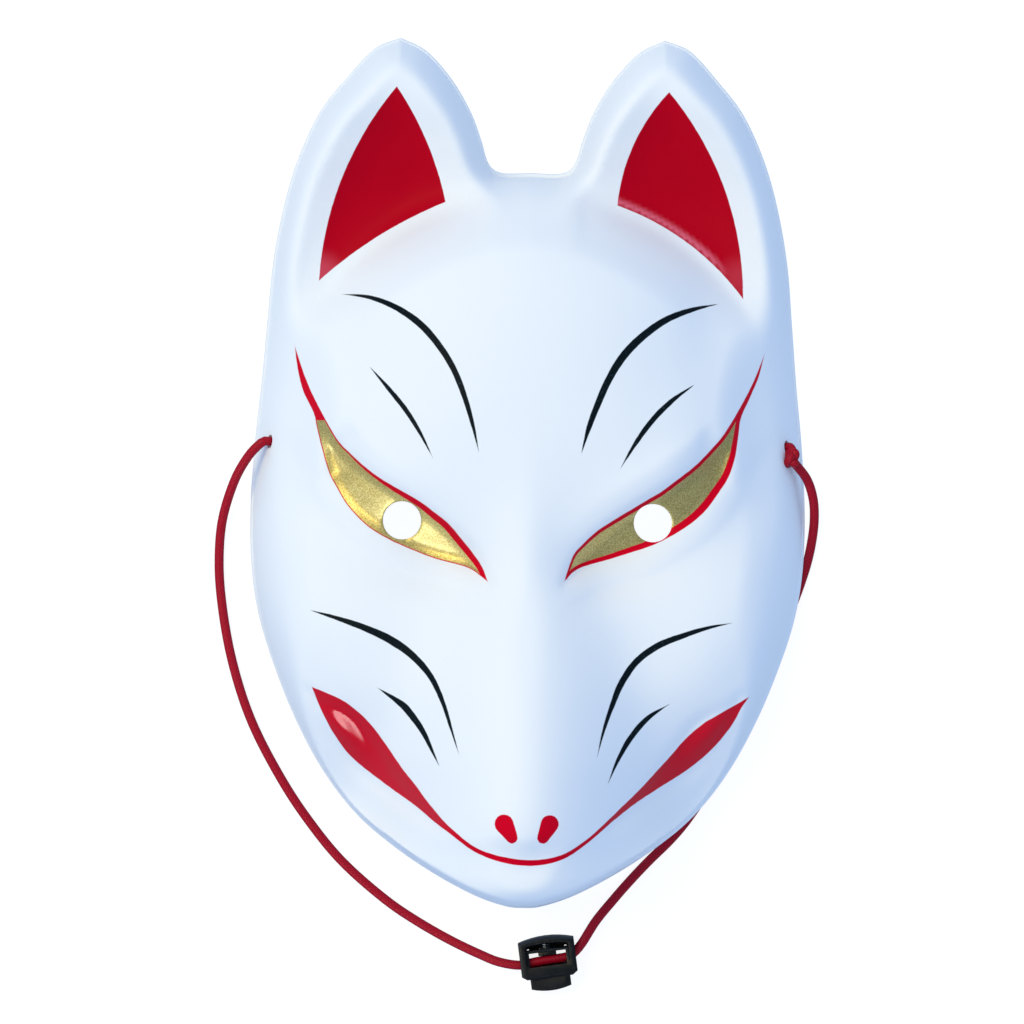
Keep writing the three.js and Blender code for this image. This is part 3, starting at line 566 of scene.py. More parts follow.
def nearest_on(path, u, v, closed=False):
    """How far each place is from a path, on which side (left of its way is positive), and how far along."""
    nearest = np.full(np.shape(u), 1e9)
    side = np.zeros(np.shape(u))
    along = np.zeros(np.shape(u))
    corners = np.vstack([path, path[:1]]) if closed else path
    gone = 0.0
    for (ax, ay), (bx, by) in zip(corners, corners[1:]):
        dx, dy = bx - ax, by - ay
        length = math.hypot(dx, dy)
        t = np.clip(((u - ax) * dx + (v - ay) * dy) / length**2, 0, 1)
        far = np.hypot(u - ax - t * dx, v - ay - t * dy)
        closer = far < nearest
        nearest = np.where(closer, far, nearest)
        side = np.where(closer, np.sign(dx * (v - ay) - dy * (u - ax)), side)
        along = np.where(closer, gone + t * length, along)
        gone += length
    return nearest, side * nearest, along


def is_inside(loop, u, v):
    inside = np.zeros(np.shape(u), bool)
    for (ax, ay), (bx, by) in zip(loop, np.roll(loop, -1, axis=0)):
        if ay != by:
            inside ^= ((ay > v) != (by > v)) & (u < (bx - ax) * (v - ay) / (by - ay) + ax)
    return inside


def depth_inside(loop, u, v):
    return np.where(is_inside(loop, u, v), 1, -1) * nearest_on(loop, u, v, closed=True)[0]


def ease(start, end, x):
    t = np.clip((x - start) / (end - start), 0, 1)
    return t * t * (3 - 2 * t)


def lower_of(a, b, rounding):
    t = np.clip(0.5 + 0.5 * (b - a) / rounding, 0, 1)
    return b * (1 - t) + a * t - rounding * t * (1 - t)


def higher_of(a, b, rounding):
    return -lower_of(-a, -b, rounding)


def swelling(u, v, centre, reach, turn):
    du, dv = u - centre[0], v - centre[1]
    a = (math.cos(turn) * du + math.sin(turn) * dv) / reach[0]
    b = (math.cos(turn) * dv - math.sin(turn) * du) / reach[1]
    return np.exp(-a * a - b * b)


def profile(places, x):
    """A smooth curve through places and the value at each, read at x."""
    p = np.array(sorted(places), float)
    lean = np.gradient(p[:, 1])
    lean[1:-1] = (p[2:, 1] - p[:-2, 1]) / (p[2:, 0] - p[:-2, 0])
    lean[0], lean[-1] = (np.diff(p[:, 1]) / np.diff(p[:, 0]))[[0, -1]]
    x = np.clip(x, p[0, 0], p[-1, 0])
    i = np.clip(np.searchsorted(p[:, 0], x) - 1, 0, len(p) - 2)
    span = p[i + 1, 0] - p[i, 0]
    t = (x - p[i, 0]) / span
    rise = t * t * (3 - 2 * t)
    leave = t * (1 - t) ** 2 * span * lean[i]
    arrive = t * t * (t - 1) * span * lean[i + 1]
    return p[i, 1] * (1 - rise) + p[i + 1, 1] * rise + leave + arrive


def arc_through(a, b, c):
    """Centre and radius of the circle through three points."""
    (ax, ay), (bx, by), (cx, cy) = a, b, c
    twist = 2 * (ax * (by - cy) + bx * (cy - ay) + cx * (ay - by))
    a, b, c = ax * ax + ay * ay, bx * bx + by * by, cx * cx + cy * cy
    x = (a * (by - cy) + b * (cy - ay) + c * (ay - by)) / twist
    y = (a * (cx - bx) + b * (ax - cx) + c * (bx - ax)) / twist
    return x, y, math.hypot(ax - x, ay - y)


tip = outline_half.index((38, 125))
inner_side = smooth_line([(-8.5, 86.4), *outline_half[: tip + 1]])[6:]
outer_side = smooth_line([*outline_half[tip:], (-5, -124.6)])[:-6]
half_way = np.vstack([inner_side, outer_side[1:]])
outline = np.vstack([half_way, half_way[-2:0:-1] * (-1, 1)])
upper_line = smooth_line(upper_lid[1:], steps=5)
lower_line = smooth_line(lower_lid, steps=5)
almond = np.vstack([upper_line, lower_line[-2:0:-1]])
brow_line = np.vstack([[(110, 95)], smooth_line(upper_lid, steps=5), [(3, -60), (-20, -60)]])
brow_area = np.vstack([brow_line, [(-20, 160), (110, 160)]])
lip_upper = smooth_line(mouth_upper, steps=5)
lip_lower = smooth_line(mouth_lower, steps=5)
mouth_corner = np.vstack([lip_upper, lip_lower[-1:0:-1]])
mouth_line = smooth_line([
    (-8, -111.2), (0, -112.2), (8, -111.2), (14.5, -109), (21.5, -104.6), (28.5, -97.5),
])
ear_outer = arc_through((38.3, 109), (53.9, 82.5), (61, 54))
ear_inner = arc_through((38.3, 109), (29.2, 95), (24.2, 78.8))
ear_lower = arc_through((24.2, 78.8), (43.5, 69), (61, 54))


def out_of_ear(u, v):
    """How far a place is outside each side of the ear's hollow: outer, inner and lower."""
    outer = np.hypot(u - ear_outer[0], v - ear_outer[1]) - ear_outer[2]
    inner = np.hypot(u - ear_inner[0], v - ear_inner[1]) - ear_inner[2]
    below = ear_lower[2] - np.hypot(u - ear_lower[0], v - ear_lower[1])
    return outer, inner, below


def rim_height(v):
    return ARCH_HEIGHT * ease(-4, -19, v) * ease(-119, -108, v)


def lip_at(u, v):
    return profile(lip_width, v) + NOTCH_LIP * ease(84, 87, v) * ease(14, 8, u)


def flank_height(from_rim, u, v):
    beyond = np.maximum(from_rim - lip_at(u, v), 0)
    growth = 0.08 * np.maximum(from_rim - 9, 0) ** 2
    steep = profile(flank_rise, v) * (1 - np.exp(-beyond / profile(flank_spread, v)))
    return LIP_HEIGHT * ease(0, 0.35, from_rim) + steep + growth


def face_height(u, v):
    rounding = profile(snout_rounding, v)
    snout = profile(snout_ridge, v) - profile(snout_slope, v) * (np.hypot(u, rounding) - rounding)
    soft = sum(rise * swelling(u, v, *place) for rise, *place in soft_forms)
    dome = profile(face_dome, v) - profile(face_curve, v) * u * u + soft
    crown = (snout + dome + np.hypot(snout - dome, BLEND)) / 2
    above_lid = np.where(is_inside(brow_area, u, v), 1, -1) * nearest_on(brow_line, u, v)[0]
    tail = 9 * ease(50, 62, u)
    brow = profile(brow_rise, np.hypot(u, 8)) * ease(-3.5, 8.3, above_lid + tail) * ease(85, 35, v)
    in_eye = depth_inside(almond, u, v)
    eye_sink = EYE_SINK * ease(-2.7, 3.4, in_eye)
    ridge = UNDER_EYE_RIDGE * np.exp(-(((in_eye + 4.7) / 1.9) ** 2)) * ease(2, -4, above_lid)
    in_corner = depth_inside(mouth_corner, u, v)
    groove = MOUTH_CORNER_GROOVE * np.exp(-(((in_corner - 1.2) / 0.6) ** 2))
    mouth_sink = MOUTH_SINK * ease(-2.7, 2.4, in_corner) + groove
    mouth_bulge = MOUTH_CORNER_BULGE * swelling(u, v, (53.5, -74), (9.5, 3.6), 0.86)
    over_mouth = nearest_on(mouth_line, u, v)[1]
    lip_fold = LIP_FOLD * ease(-0.3, 2.5, over_mouth)
    lip_fold = lip_fold * np.exp(-np.maximum(over_mouth, 0) / 8) * ease(28, 16, u)
    chin = CHIN_RISE * swelling(u, v, (0, -120.5), (16.6, 5), 0)
    return crown + brow - eye_sink + ridge - mouth_sink + mouth_bulge + lip_fold + chin


def with_ear(face, u, v):
    outer, inner, below = out_of_ear(u, v)
    sides = higher_of(np.clip(outer / 15.6, -1.2, 1.3), np.clip(inner / 15.6, -1.2, 1.3), 0.55)
    edge = higher_of(sides, np.clip(below / 9.3, -3, 1.3), 1.35)
    hollow = EAR_DEPTH * (1 - ease(-0.51, 1.24, edge))
    is_ear = ease(20, -4, below) * ease(37.6, 54, v) * ease(0, 17, u)
    beside_ear = ease(9, -1, higher_of(outer, inner, 4))
    groove = UNDER_EAR_GROOVE * np.exp(-(((below - 3.5) / 2.6) ** 2)) * beside_ear
    return face * (1 - is_ear) + profile(ear_crest, v) * is_ear - hollow - groove


def height(signed_u, v):
    """The height of the outside over the front drawing, in mm."""
    u = np.abs(signed_u)
    from_rim = nearest_on(outline, u, v, closed=True)[0]
    relief = with_ear(face_height(u, v), u, v)
    body = lower_of(flank_height(from_rim, u, v), relief, profile(flank_rounding, v))
    return body + rim_height(v) * np.exp(-from_rim / 4)


def on_surface(u, v):
    """A place of the drawing in space: what is higher looks larger, so it is drawn in towards the middle."""
    z = height(u, v)
    nearer = 1 - z * MM / EYE_HEIGHT
    return np.stack([u * nearer, v * nearer, z], axis=-1)


def surface_way(u, v, reach):
    """The way out of the surface, evened over this reach."""
    across = on_surface(u + reach, v) - on_surface(u - reach, v)
    up = on_surface(u, v + reach) - on_surface(u, v - reach)
    way = np.cross(across, up)
    return way / np.linalg.norm(way, axis=-1, keepdims=True)


# The net of the right half: rings along the rim, then an even spread of points with the holes left open
RING_DEPTHS = [0, 0.06, 0.14, 0.24, 0.35, 0.7, 1.1, 1.3, 1.6, 2.0, 2.6, 3.3]
INNER_RINGS = [4.1, 5.0, 6.0, 7.0]
RIM_POINTS = 330
EAR_RIM_POINTS = 58  # of those, up to the tip of the ear
SPREAD = 1.15  # between points of the face
HOLE_RINGS = [0, 0.25, 0.7, 1.4]
HOLE_POINTS = 40
PROBE = 0.2  # step by which the lean of the wall is measured at the cord hole
TIP_EVENING = 11  # rim points over which the way in from the rim is evened, across the ear's sharp tip


def spaced_along(line, spans):
    """Points at equal spans along a line."""
    gone = np.concatenate([[0], np.cumsum(np.hypot(*np.diff(line, axis=0).T))])
    stops = np.linspace(0, gone[-1], spans + 1)
    return np.stack([np.interp(stops, gone, line[:, 0]), np.interp(stops, gone, line[:, 1])], axis=-1)


fine_inner = smooth_line([(-8.5, 86.4), *outline_half[: tip + 1]], steps=60)[60:]
fine_outer = smooth_line([*outline_half[tip:], (-5, -124.6)], steps=60)[:-60]
to_tip = spaced_along(fine_inner, EAR_RIM_POINTS)
rim = np.vstack([to_tip, spaced_along(fine_outer, RIM_POINTS - EAR_RIM_POINTS)[1:]])
ahead = np.gradient(rim, axis=0)
inward = np.stack([ahead[:, 1], -ahead[:, 0]], axis=-1) / np.hypot(*ahead.T)[:, None]
turned = np.unwrap(np.arctan2(inward[:, 1], inward[:, 0]))
turned = np.pad(turned, TIP_EVENING // 2, mode="edge")
turned = np.convolve(turned, np.ones(TIP_EVENING) / TIP_EVENING, mode="valid")
inward = np.stack([np.cos(turned), np.sin(turned)], axis=-1)
inward[0], inward[-1] = (0, -1), (0, 1)


def ring_at(depth):
    """The rim moved in by a depth."""
    ring = rim + depth * inward
    ring[[0, -1], 0] = 0
    return ring


hole_mouth = on_surface(*np.array(CORD_HOLE_PLACE, float))
hole_way = surface_way(*np.array(CORD_HOLE_PLACE, float), 0.4)
hole_up = np.cross(hole_way, (0, -1, 0))
hole_up /= np.linalg.norm(hole_up)
hole_side = np.cross(hole_up, hole_way)
steps_out = PROBE * np.eye(2)
lean_of_wall = np.stack(
    [(on_surface(*(CORD_HOLE_PLACE + step)) - hole_mouth) / PROBE for step in steps_out], axis=-1,
)
to_drawing = np.linalg.inv(np.stack([hole_up @ lean_of_wall, hole_side @ lean_of_wall]))
turns = 2 * np.pi * np.arange(HOLE_POINTS) / HOLE_POINTS
circle = np.stack([np.cos(turns), np.sin(turns)], axis=-1)
from_cord_hole = np.linalg.inv(to_drawing)

strip_points = np.concatenate([ring_at(d) for d in RING_DEPTHS])
seam = strip_points[-RIM_POINTS - 1 :]
axis_v = np.arange(seam[-1, 1] + SPREAD, seam[0, 1] - SPREAD / 2, SPREAD)
axis_points = np.stack([np.zeros(len(axis_v)), axis_v], axis=-1)
rows = np.arange(-125, 125, SPREAD * math.sqrt(0.75))
columns = np.arange(SPREAD * 0.5, 82, SPREAD)
spread_u, spread_v = np.meshgrid(columns, rows)
spread_u = spread_u + (np.arange(len(rows)) % 2 * SPREAD / 2)[:, None]
spread = np.stack([spread_u.ravel(), spread_v.ravel()], axis=-1)
spread = spread[is_inside(outline, *spread.T) & (spread[:, 0] > SPREAD * 0.45)]
spread = spread[nearest_on(outline, *spread.T, closed=True)[0] > INNER_RINGS[-1] + SPREAD * 0.6]
deep_rings = np.concatenate([ring_at(d)[1:-1] for d in INNER_RINGS])
deep_rings = deep_rings[deep_rings[:, 0] > SPREAD * 0.4]
field = np.concatenate([deep_rings, spread])
from_eye_hole = np.hypot(*(field - EYE_HOLE_CENTRE).T) - EYE_HOLE_RADIUS
from_cord = np.hypot(*((field - CORD_HOLE_PLACE) @ from_cord_hole.T).T) - CORD_HOLE_RADIUS
field = field[(from_eye_hole > HOLE_RINGS[-1] + SPREAD * 0.6) & (from_cord > 0.9)]
eye_rings = [EYE_HOLE_CENTRE + (EYE_HOLE_RADIUS + r) * circle for r in HOLE_RINGS]
cord_rings = [CORD_HOLE_PLACE + (CORD_HOLE_RADIUS + r) * circle @ to_drawing.T for r in (0, 0.3)]
face_points = np.concatenate([seam, axis_points, *eye_rings, *cord_rings, field])
seam_loop = [*range(RIM_POINTS + 1), *range(RIM_POINTS + 1, RIM_POINTS + 1 + len(axis_points))]
meshed = geometry.delaunay_2d_cdt([Vector(p) for p in face_points], [], [seam_loop], 1, 1e-6)
face_points = np.array([tuple(p) for p in meshed[0]])
triangles = np.array(meshed[2])
middles = face_points[triangles].mean(axis=1)
in_eye = np.hypot(*(middles - EYE_HOLE_CENTRE).T) < EYE_HOLE_RADIUS
in_cord = np.hypot(*((middles - CORD_HOLE_PLACE) @ from_cord_hole.T).T) < CORD_HOLE_RADIUS
triangles = triangles[~(in_eye | in_cord)]
net = np.concatenate([strip_points, face_points[RIM_POINTS + 1 :]])
count = len(net)
last_ring = len(strip_points) - RIM_POINTS - 1
triangles = triangles + last_ring
first = (np.arange(len(RING_DEPTHS) - 1)[:, None] * (RIM_POINTS + 1) + np.arange(RIM_POINTS)).ravel()
beside = first + RIM_POINTS + 1
strips = np.concatenate([
    np.stack([first, beside, first + 1], -1),
    np.stack([first + 1, beside, beside + 1], -1),
])
triangles = np.concatenate([strips, triangles])
a, b, c = (net[triangles[:, i]] for i in range(3))
backwards = (b[:, 0] - a[:, 0]) * (c[:, 1] - a[:, 1]) < (b[:, 1] - a[:, 1]) * (c[:, 0] - a[:, 0])
triangles[backwards] = triangles[backwards][:, ::-1]

# The outside, and the inside a wall's thickness behind it; the foot is turned in level under the lip
u, v = net.T
outside = on_surface(u, v)
outside[: RIM_POINTS + 1, 2] = rim_height(v[: RIM_POINTS + 1])
inside = outside.copy()
deep = slice(RIM_POINTS + 1, None)
inside[deep] -= WALL * surface_way(u[deep], v[deep], 1.2)
depths = np.repeat(RING_DEPTHS, RIM_POINTS + 1)
ring_inward = np.tile(inward, (len(RING_DEPTHS), 1))
strip_u, strip_v = strip_points.T
lip = lip_at(strip_u, strip_v)
up_foot = depths / lip
foot_depth = FOOT_WIDTH + 0.1 * up_foot - depths
foot_place = strip_points + foot_depth[:, None] * ring_inward
foot = np.column_stack([foot_place, rim_height(strip_v) + 0.6 * up_foot])
inside[: len(foot)][up_foot <= 1.01] = foot[up_foot <= 1.01]
from_eye_edge = np.hypot(*(net - EYE_HOLE_CENTRE).T) - EYE_HOLE_RADIUS
straight = outside - WALL / np.maximum(surface_way(u, v, 0.6)[:, 2:], 0.5) * (0, 0, 1)
inside += ease(1.8, 0.3, from_eye_edge)[:, None] * (straight - inside)  # the hole is cut straight down
outside[:, 2] -= 0.25 * ease(0.4, 0, from_eye_edge)  # and its edge is eased

# The left half is its mirror image; the two meet along the middle
on_axis = net[:, 0] == 0
twin = np.where(on_axis, np.arange(count), count + np.cumsum(~on_axis) - 1)
flip = np.array([-1, 1, 1])
outside = np.concatenate([outside, outside[~on_axis] * flip])
inside = np.concatenate([inside, inside[~on_axis] * flip])
drawn = np.concatenate([net, net[~on_axis] * flip[:2]])
outer_faces = np.concatenate([triangles, twin[triangles][:, ::-1]])
inner_faces = outer_faces[:, ::-1] + len(outside)
way_round = np.concatenate([outer_faces[:, [0, 1]], outer_faces[:, [1, 2]], outer_faces[:, [2, 0]]])
known = set(map(tuple, way_round.tolist()))
edges = np.array([(i, j) for i, j in known if (j, i) not in known])
edges = edges[np.lexsort(edges.T)]
n = len(outside)
walls = np.concatenate([
    np.stack([edges[:, 0], edges[:, 0] + n, edges[:, 1]], -1),
    np.stack([edges[:, 1], edges[:, 0] + n, edges[:, 1] + n], -1),
])
shell_mesh = bpy.data.meshes.new("shell")
shell_mesh.from_pydata(
    np.concatenate([outside, inside]) * MM, [], np.concatenate([outer_faces, inner_faces, walls]).tolist(),
)
bare = np.zeros(len(shell_mesh.polygons), np.int32)
bare[len(outer_faces) :] = 1
shell_mesh.polygons.foreach_set("material_index", bare)
shell = bpy.data.objects.new("shell", shell_mesh)
bpy.context.scene.collection.objects.link(shell)
bpy.ops.object.select_all(action="DESELECT")
shell.select_set(True)
bpy.context.view_layer.objects.active = shell
bpy.ops.object.shade_smooth_by_angle(angle=math.radians(50))

# What is painted, in mm of the front drawing, measured on the photograph. A black stroke of the brush is
# its places and its width at each.
black_strokes = [
    [(-54.1, 51, 0), (-45.9, 50.1, 1.2), (-38.3, 47.2, 1.7), (-31.5, 42.6, 2), (-26, 36.5, 1.9),
     (-21.6, 29.5, 1.8), (-18.5, 21.9, 1.6), (-16.1, 14, 1.1), (-14.2, 6, 0)],
    [(-45.8, 30.1, 0.1), (-40.5, 24.1, 1.2), (-35.4, 17.9, 1.4), (-31.1, 11.2, 1), (-27.4, 4.1, 0)],
    [(54.4, 49.4, 0), (46.7, 47.6, 1.3), (39.4, 44.7, 1.9), (32.9, 40.1, 2.2), (27.4, 34.5, 2.3),
     (23.2, 27.8, 2.1), (20, 20.5, 1.9), (17.3, 13.1, 1.4), (15.2, 5.5, 0)],
    [(47.5, 26, 0.1), (41, 21.2, 1.4), (35.4, 15.4, 1.6), (30.8, 8.9, 1.2), (26.7, 1.9, 0.1)],
    [(-61.7, -40.2, 0.2), (-54, -42.4, 1.3), (-46.4, -45, 1.9), (-39.1, -48.3, 2.35), (-32.6, -52.8, 2.1),
     (-27.3, -58.8, 1.7), (-23.8, -66, 1.3), (-21.3, -73.6, 0.8), (-18.9, -81.2, 0)],
    [(-42.5, -62.2, 0.1), (-36.4, -66.2, 1.7), (-33.7, -68.7, 2.05), (-29.4, -74.6, 1.6),
     (-26.2, -81.1, 0.7), (-24.6, -84.4, 0)],
    [(59.5, -42.3, 0), (52.1, -43.9, 1), (44.9, -46.3, 1.6), (37.9, -49.2, 1.9), (31.9, -53.7, 1.9),
     (27.6, -60, 1.9), (24.8, -67, 1.4), (22.5, -74.2, 0.8), (20.8, -81.6, 0)],
    [(41.6, -65.8, 0), (35.4, -69.9, 1.4), (30.5, -75.6, 1.6), (26.8, -82.2, 1.05), (24, -89.1, 0)],
]
# Each eye with its tail, and the mouth from corner to corner, lie between an upper and a lower line
left_eye = (
    [(-67.5, 36), (-65.4, 29.7), (-63, 23.7), (-59.8, 17.4), (-55.1, 9.3), (-51.3, 5.3), (-46.6, 1.1),
     (-40.8, -2.9), (-31.6, -8), (-26.9, -11.4), (-22.9, -14.5), (-19.1, -18.8), (-15.6, -23.1),
     (-12.9, -27), (-11.2, -31.3)],
    [(-67.5, 36), (-66.6, 29.4), (-64.9, 22.9), (-61.9, 16.9), (-60.9, 12.6), (-59.3, 6.4), (-57.3, -0.2),
     (-54.9, -4.8), (-52.3, -9.1), (-49.1, -12.8), (-45.3, -16.2), (-40.6, -19), (-36.3, -21),
     (-26.8, -24.7), (-17, -27.3), (-11.2, -31.3)],
)
right_eye = (
    [(67.6, 34.9), (65.2, 28.6), (62.3, 22.4), (59, 16.4), (55.7, 11.1), (51.7, 6.5), (47.7, 2.4),
     (42.9, -1.4), (38.3, -4.9), (33.5, -7.8), (24, -13.7), (19.8, -16.6), (16.1, -20.1), (13.2, -23.6),
     (10.7, -31.1)],
    [(67.6, 34.9), (66, 28.4), (63.4, 22), (61.1, 16.6), (60.3, 10.6), (59.5, 5.1), (57.6, -0.6),
     (54.7, -5.3), (51.9, -9.3), (48.8, -12.5), (44.8, -15.5), (39.9, -18.4), (35, -20.7), (24.2, -24.3),
     (14.9, -27.2), (10.7, -31.1)],
)
mouth = (
    [(-61.5, -62.1), (-53.1, -65.6), (-47.4, -69.7), (-43.4, -73.9), (-39.1, -79.7), (-34.9, -85.7),
     (-31.6, -89.7), (-28.4, -94), (-24, -99.3), (-20.5, -102.7), (-13.8, -107.8), (-5.8, -110.4),
     (2.6, -111.2), (10.8, -109.7), (18, -105.2), (24.4, -99.3), (29, -94.7), (33.6, -90.1), (42, -80.7),
     (45.8, -76.2), (50.8, -71.7), (54.8, -69.2), (64.3, -63.6)],
    [(-61.5, -62.1), (-59.1, -67.9), (-56, -73.9), (-51.9, -79.9), (-48, -83.8), (-42.8, -87.8),
     (-37.3, -91.8), (-31.4, -95.9), (-25.5, -100.8), (-21.4, -103.8), (-14.4, -108.9), (-6.2, -112),
     (2.6, -112.9), (11.2, -111), (18.6, -106), (25, -100.3), (31.6, -94.9), (38.8, -90), (45.9, -85.4),
     (51.8, -80.7), (56.3, -76), (59.7, -71.4), (62.2, -66.8), (64.3, -63.6)],
)
# Each nostril is a drop: its wide end, its narrow end, and its radius at both
nostrils = [((-5.75, -100.9), (-3.4, -104.9), 2.75, 1.65), ((7.4, -100.8), (5.5, -104.8), 2.6, 1.7)]
# Each ear's red lies between three arcs: outer, inner and lower
left_ear = [
    arc_through((40.4, 109.2), (55.5, 81.7), (60.6, 57.3)),
    arc_through((37.9, 109.3), (28.9, 92), (24.7, 78.3)),
    arc_through((31.5, 74.7), (49.1, 64.2), (58, 57.2)),
]
right_ear = [
    arc_through((42.1, 106.8), (56.8, 79.1), (61.2, 55.2)),
    arc_through((36.5, 106.8), (28.5, 93), (25, 79.1)),
    arc_through((29.2, 75.7), (47, 65.4), (57.8, 55.2)),
]
END = 3.0  # how far past its ends a stroke's line is followed, growing narrower than nothing
LEAD = 15  # how far past the corners the lines round an eye or the mouth are followed
UNPAINTED = -9.0  # far outside every painted area


def brushed(strokes, u, v):
    """How far beside the nearest stroke's line a place is, and half of the stroke's width there."""
    best_side = np.zeros(len(u))
    best_half = np.full(len(u), -5.0)
    for stroke in strokes:
        line = smooth_line(stroke, steps=6)
        ways = (line[0] - line[1])[:2], (line[-1] - line[-2])[:2]
        start, end = [
            [*(end_point[:2] + END * way / np.linalg.norm(way)), -1.5]
            for end_point, way in zip((line[0], line[-1]), ways)
        ]
        line = np.vstack([start, line, end])
        far, side, along = nearest_on(line[:, :2], u, v)
        gone = np.concatenate([[0], np.cumsum(np.hypot(*np.diff(line[:, :2], axis=0).T))])
        half = np.interp(along, gone, line[:, 2]) / 2
        near = (far < 2.2) & (half - far > best_half - np.abs(best_side))
        best_side = np.where(near, side, best_side)
        best_half = np.where(near, half, best_half)
    return best_side, best_half


def between(pair, first_inset, second_inset, u, v):
    """How far a place is inside an upper and a lower line, each moved in by its inset."""
    upper, lower = pair
    fields = []
    left_to_right = 1 if upper[0][0] < upper[-1][0] else -1
    for points, inset, sign in ((upper, first_inset, -left_to_right), (lower, second_inset, left_to_right)):
        line = smooth_line(points, steps=5)
        start = line[0] + LEAD * (line[0] - line[1]) / np.linalg.norm(line[0] - line[1])
        end = line[-1] + LEAD * (line[-1] - line[-2]) / np.linalg.norm(line[-1] - line[-2])
        side, along = nearest_on(np.vstack([start, line, end]), u, v)[1:]
        part = np.clip((along - LEAD) / np.hypot(*np.diff(line, axis=0).T).sum(), 0, 1)
        fields.append(sign * side - profile(inset, part))
    return np.array(fields)


def keep(name, *fields):
    """Keeps up to three fields on the mesh for the paint; the inside gets none."""
    values = np.full((2 * n, 3), UNPAINTED)
    for i, field in enumerate(fields):
        values[:n, i] = field
    attribute = shell_mesh.attributes.new(name, "FLOAT_VECTOR", "POINT")
    attribute.data.foreach_set("vector", values.ravel())


u, v = drawn.T
right = u > 0
whole = [(0, 0), (1, 0)]
ear_fields = [
    np.array([outer[2] - np.hypot(np.abs(u) - outer[0], v - outer[1]),
              inner[2] - np.hypot(np.abs(u) - inner[0], v - inner[1]),
              np.hypot(np.abs(u) - lower[0], v - lower[1]) - lower[2]])
    for outer, inner, lower in (left_ear, right_ear)
]
keep("ear", *np.where(right, ear_fields[1], ear_fields[0]))
eye_fields = [between(pair, whole, whole, u, v) for pair in (left_eye, right_eye)]
keep("eye", *np.where(right, eye_fields[1], eye_fields[0]))
left_gold = between(
    left_eye, [(0, 0.3), (0.35, 0.45), (0.5, 0.9), (0.62, 1.5), (0.85, 1.9), (1, 1.3)],
    [(0, 0.3), (1, 0.3)], u, v,
)
right_gold = between(
    right_eye, [(0, 0.9), (0.35, 1.05), (0.7, 1.1), (1, 0.6)],
    [(0, 1), (0.2, 1.2), (0.35, 1.8), (0.5, 2.2), (0.7, 1.8), (0.85, 1.4), (1, 0.8)], u, v,
)
keep("gold", *np.where(right, right_gold, left_gold), np.where(right, 15.6 - v, 14.6 - v))
keep("mouth", *between(mouth, whole, whole, u, v))
keep("black_lines", *brushed(black_strokes, u, v))
drop = np.full(len(u), UNPAINTED)
for wide_end, narrow_end, wide_radius, narrow_radius in nostrils:
    reach = np.subtract(narrow_end, wide_end)
    span = np.linalg.norm(reach)
    taper = (wide_radius - narrow_radius) / span
    flat = math.sqrt(1 - taper * taper)
    down = ((drawn - wide_end) @ reach) / span
    across = np.abs((u - wide_end[0]) * reach[1] - (v - wide_end[1]) * reach[0]) / span
    where = down * flat - across * taper
    tapered = wide_radius - (across * flat + down * taper)
    tapered = np.where(where < 0, wide_radius - np.hypot(across, down), tapered)
    tapered = np.where(where > flat * span, narrow_radius - np.hypot(across, down - span), tapered)
    drop = np.maximum(drop, tapered)
keep("nostril", drop)
# Painted highlight: a lighter pink painted on the red where light catches it, along the lower edge of the
# right ear and at the corners of both
from_edge = np.where(right, ear_fields[1][2], ear_fields[0][2])
from_corner = np.hypot(np.abs(u) - 60, v - 57)
along_edge = ease(0.2, 0.7, from_edge) * ease(2.6, 0.9, from_edge) * ease(60, 50, np.abs(u))
edge_highlight = np.where(right, along_edge, 0)
corner_highlight = np.where(right, 0.15, 0.3) * ease(8, 1, from_corner)
keep("red_highlight_and_gloss", np.maximum(0.75 * edge_highlight, corner_highlight), ease(18, 26, np.abs(u)))

# ABS plastic under sprayed satin white paint: a soft gloss and the faintest orange peel. Red and black
# are brushed on it, the mouth's corners under a clear gloss, and the gold is bronze powder in lacquer,
# which glitters in fine grains.
WHITE = "#E3E6EC"
EAR_RED = "#AC001A"
# the lighter pink of the painted highlight on the ears' red
HIGHLIGHT_RED = "#E07088"
MOUTH_RED = "#C80020"
LINE_BLACK = "#0C161C"
DRY_BRUSH_BLACK = "#2C3A42"
GOLD = "#E0D294"
GOLD_SHADE = "#AE9E58"
paint = new_material("painted_plastic")
place = add(paint, "ShaderNodeTexCoord").outputs["Object"]
waver = add(paint, "ShaderNodeTexNoise", Vector=place, Scale=420.0, Detail=2.0)  # one wave in 2.4 mm
waver = add(paint, "ShaderNodeMapRange", Value=waver.outputs[0], To_Min=-0.09, To_Max=0.09).outputs[0]
covers = {}
for name in ("ear", "eye", "gold", "mouth", "black_lines", "nostril"):
    stored = add(paint, "ShaderNodeAttribute", {"attribute_name": name})
    parts = add(paint, "ShaderNodeSeparateXYZ", Vector=stored.outputs["Vector"]).outputs
    if name == "black_lines":
        off_line = add(paint, "ShaderNodeMath", {"operation": "ABSOLUTE"}, _0=parts[0]).outputs[0]
        within = add(paint, "ShaderNodeMath", {"operation": "SUBTRACT"}, _0=parts[1], _1=off_line).outputs[0]
    elif name == "nostril":
        within = parts[0]
    else:
        within = add(paint, "ShaderNodeMath", {"operation": "MINIMUM"}, _0=parts[0], _1=parts[1]).outputs[0]
    if name in ("ear", "gold"):
        within = add(paint, "ShaderNodeMath", {"operation": "MINIMUM"}, _0=within, _1=parts[2]).outputs[0]
    within = add(paint, "ShaderNodeMath", {"operation": "ADD"}, _0=within, _1=waver).outputs[0]
    covers[name] = add(
        paint, "ShaderNodeMapRange", {"interpolation_type": "SMOOTHSTEP"},
        Value=within, From_Min=-0.12, From_Max=0.14,
    ).outputs[0]
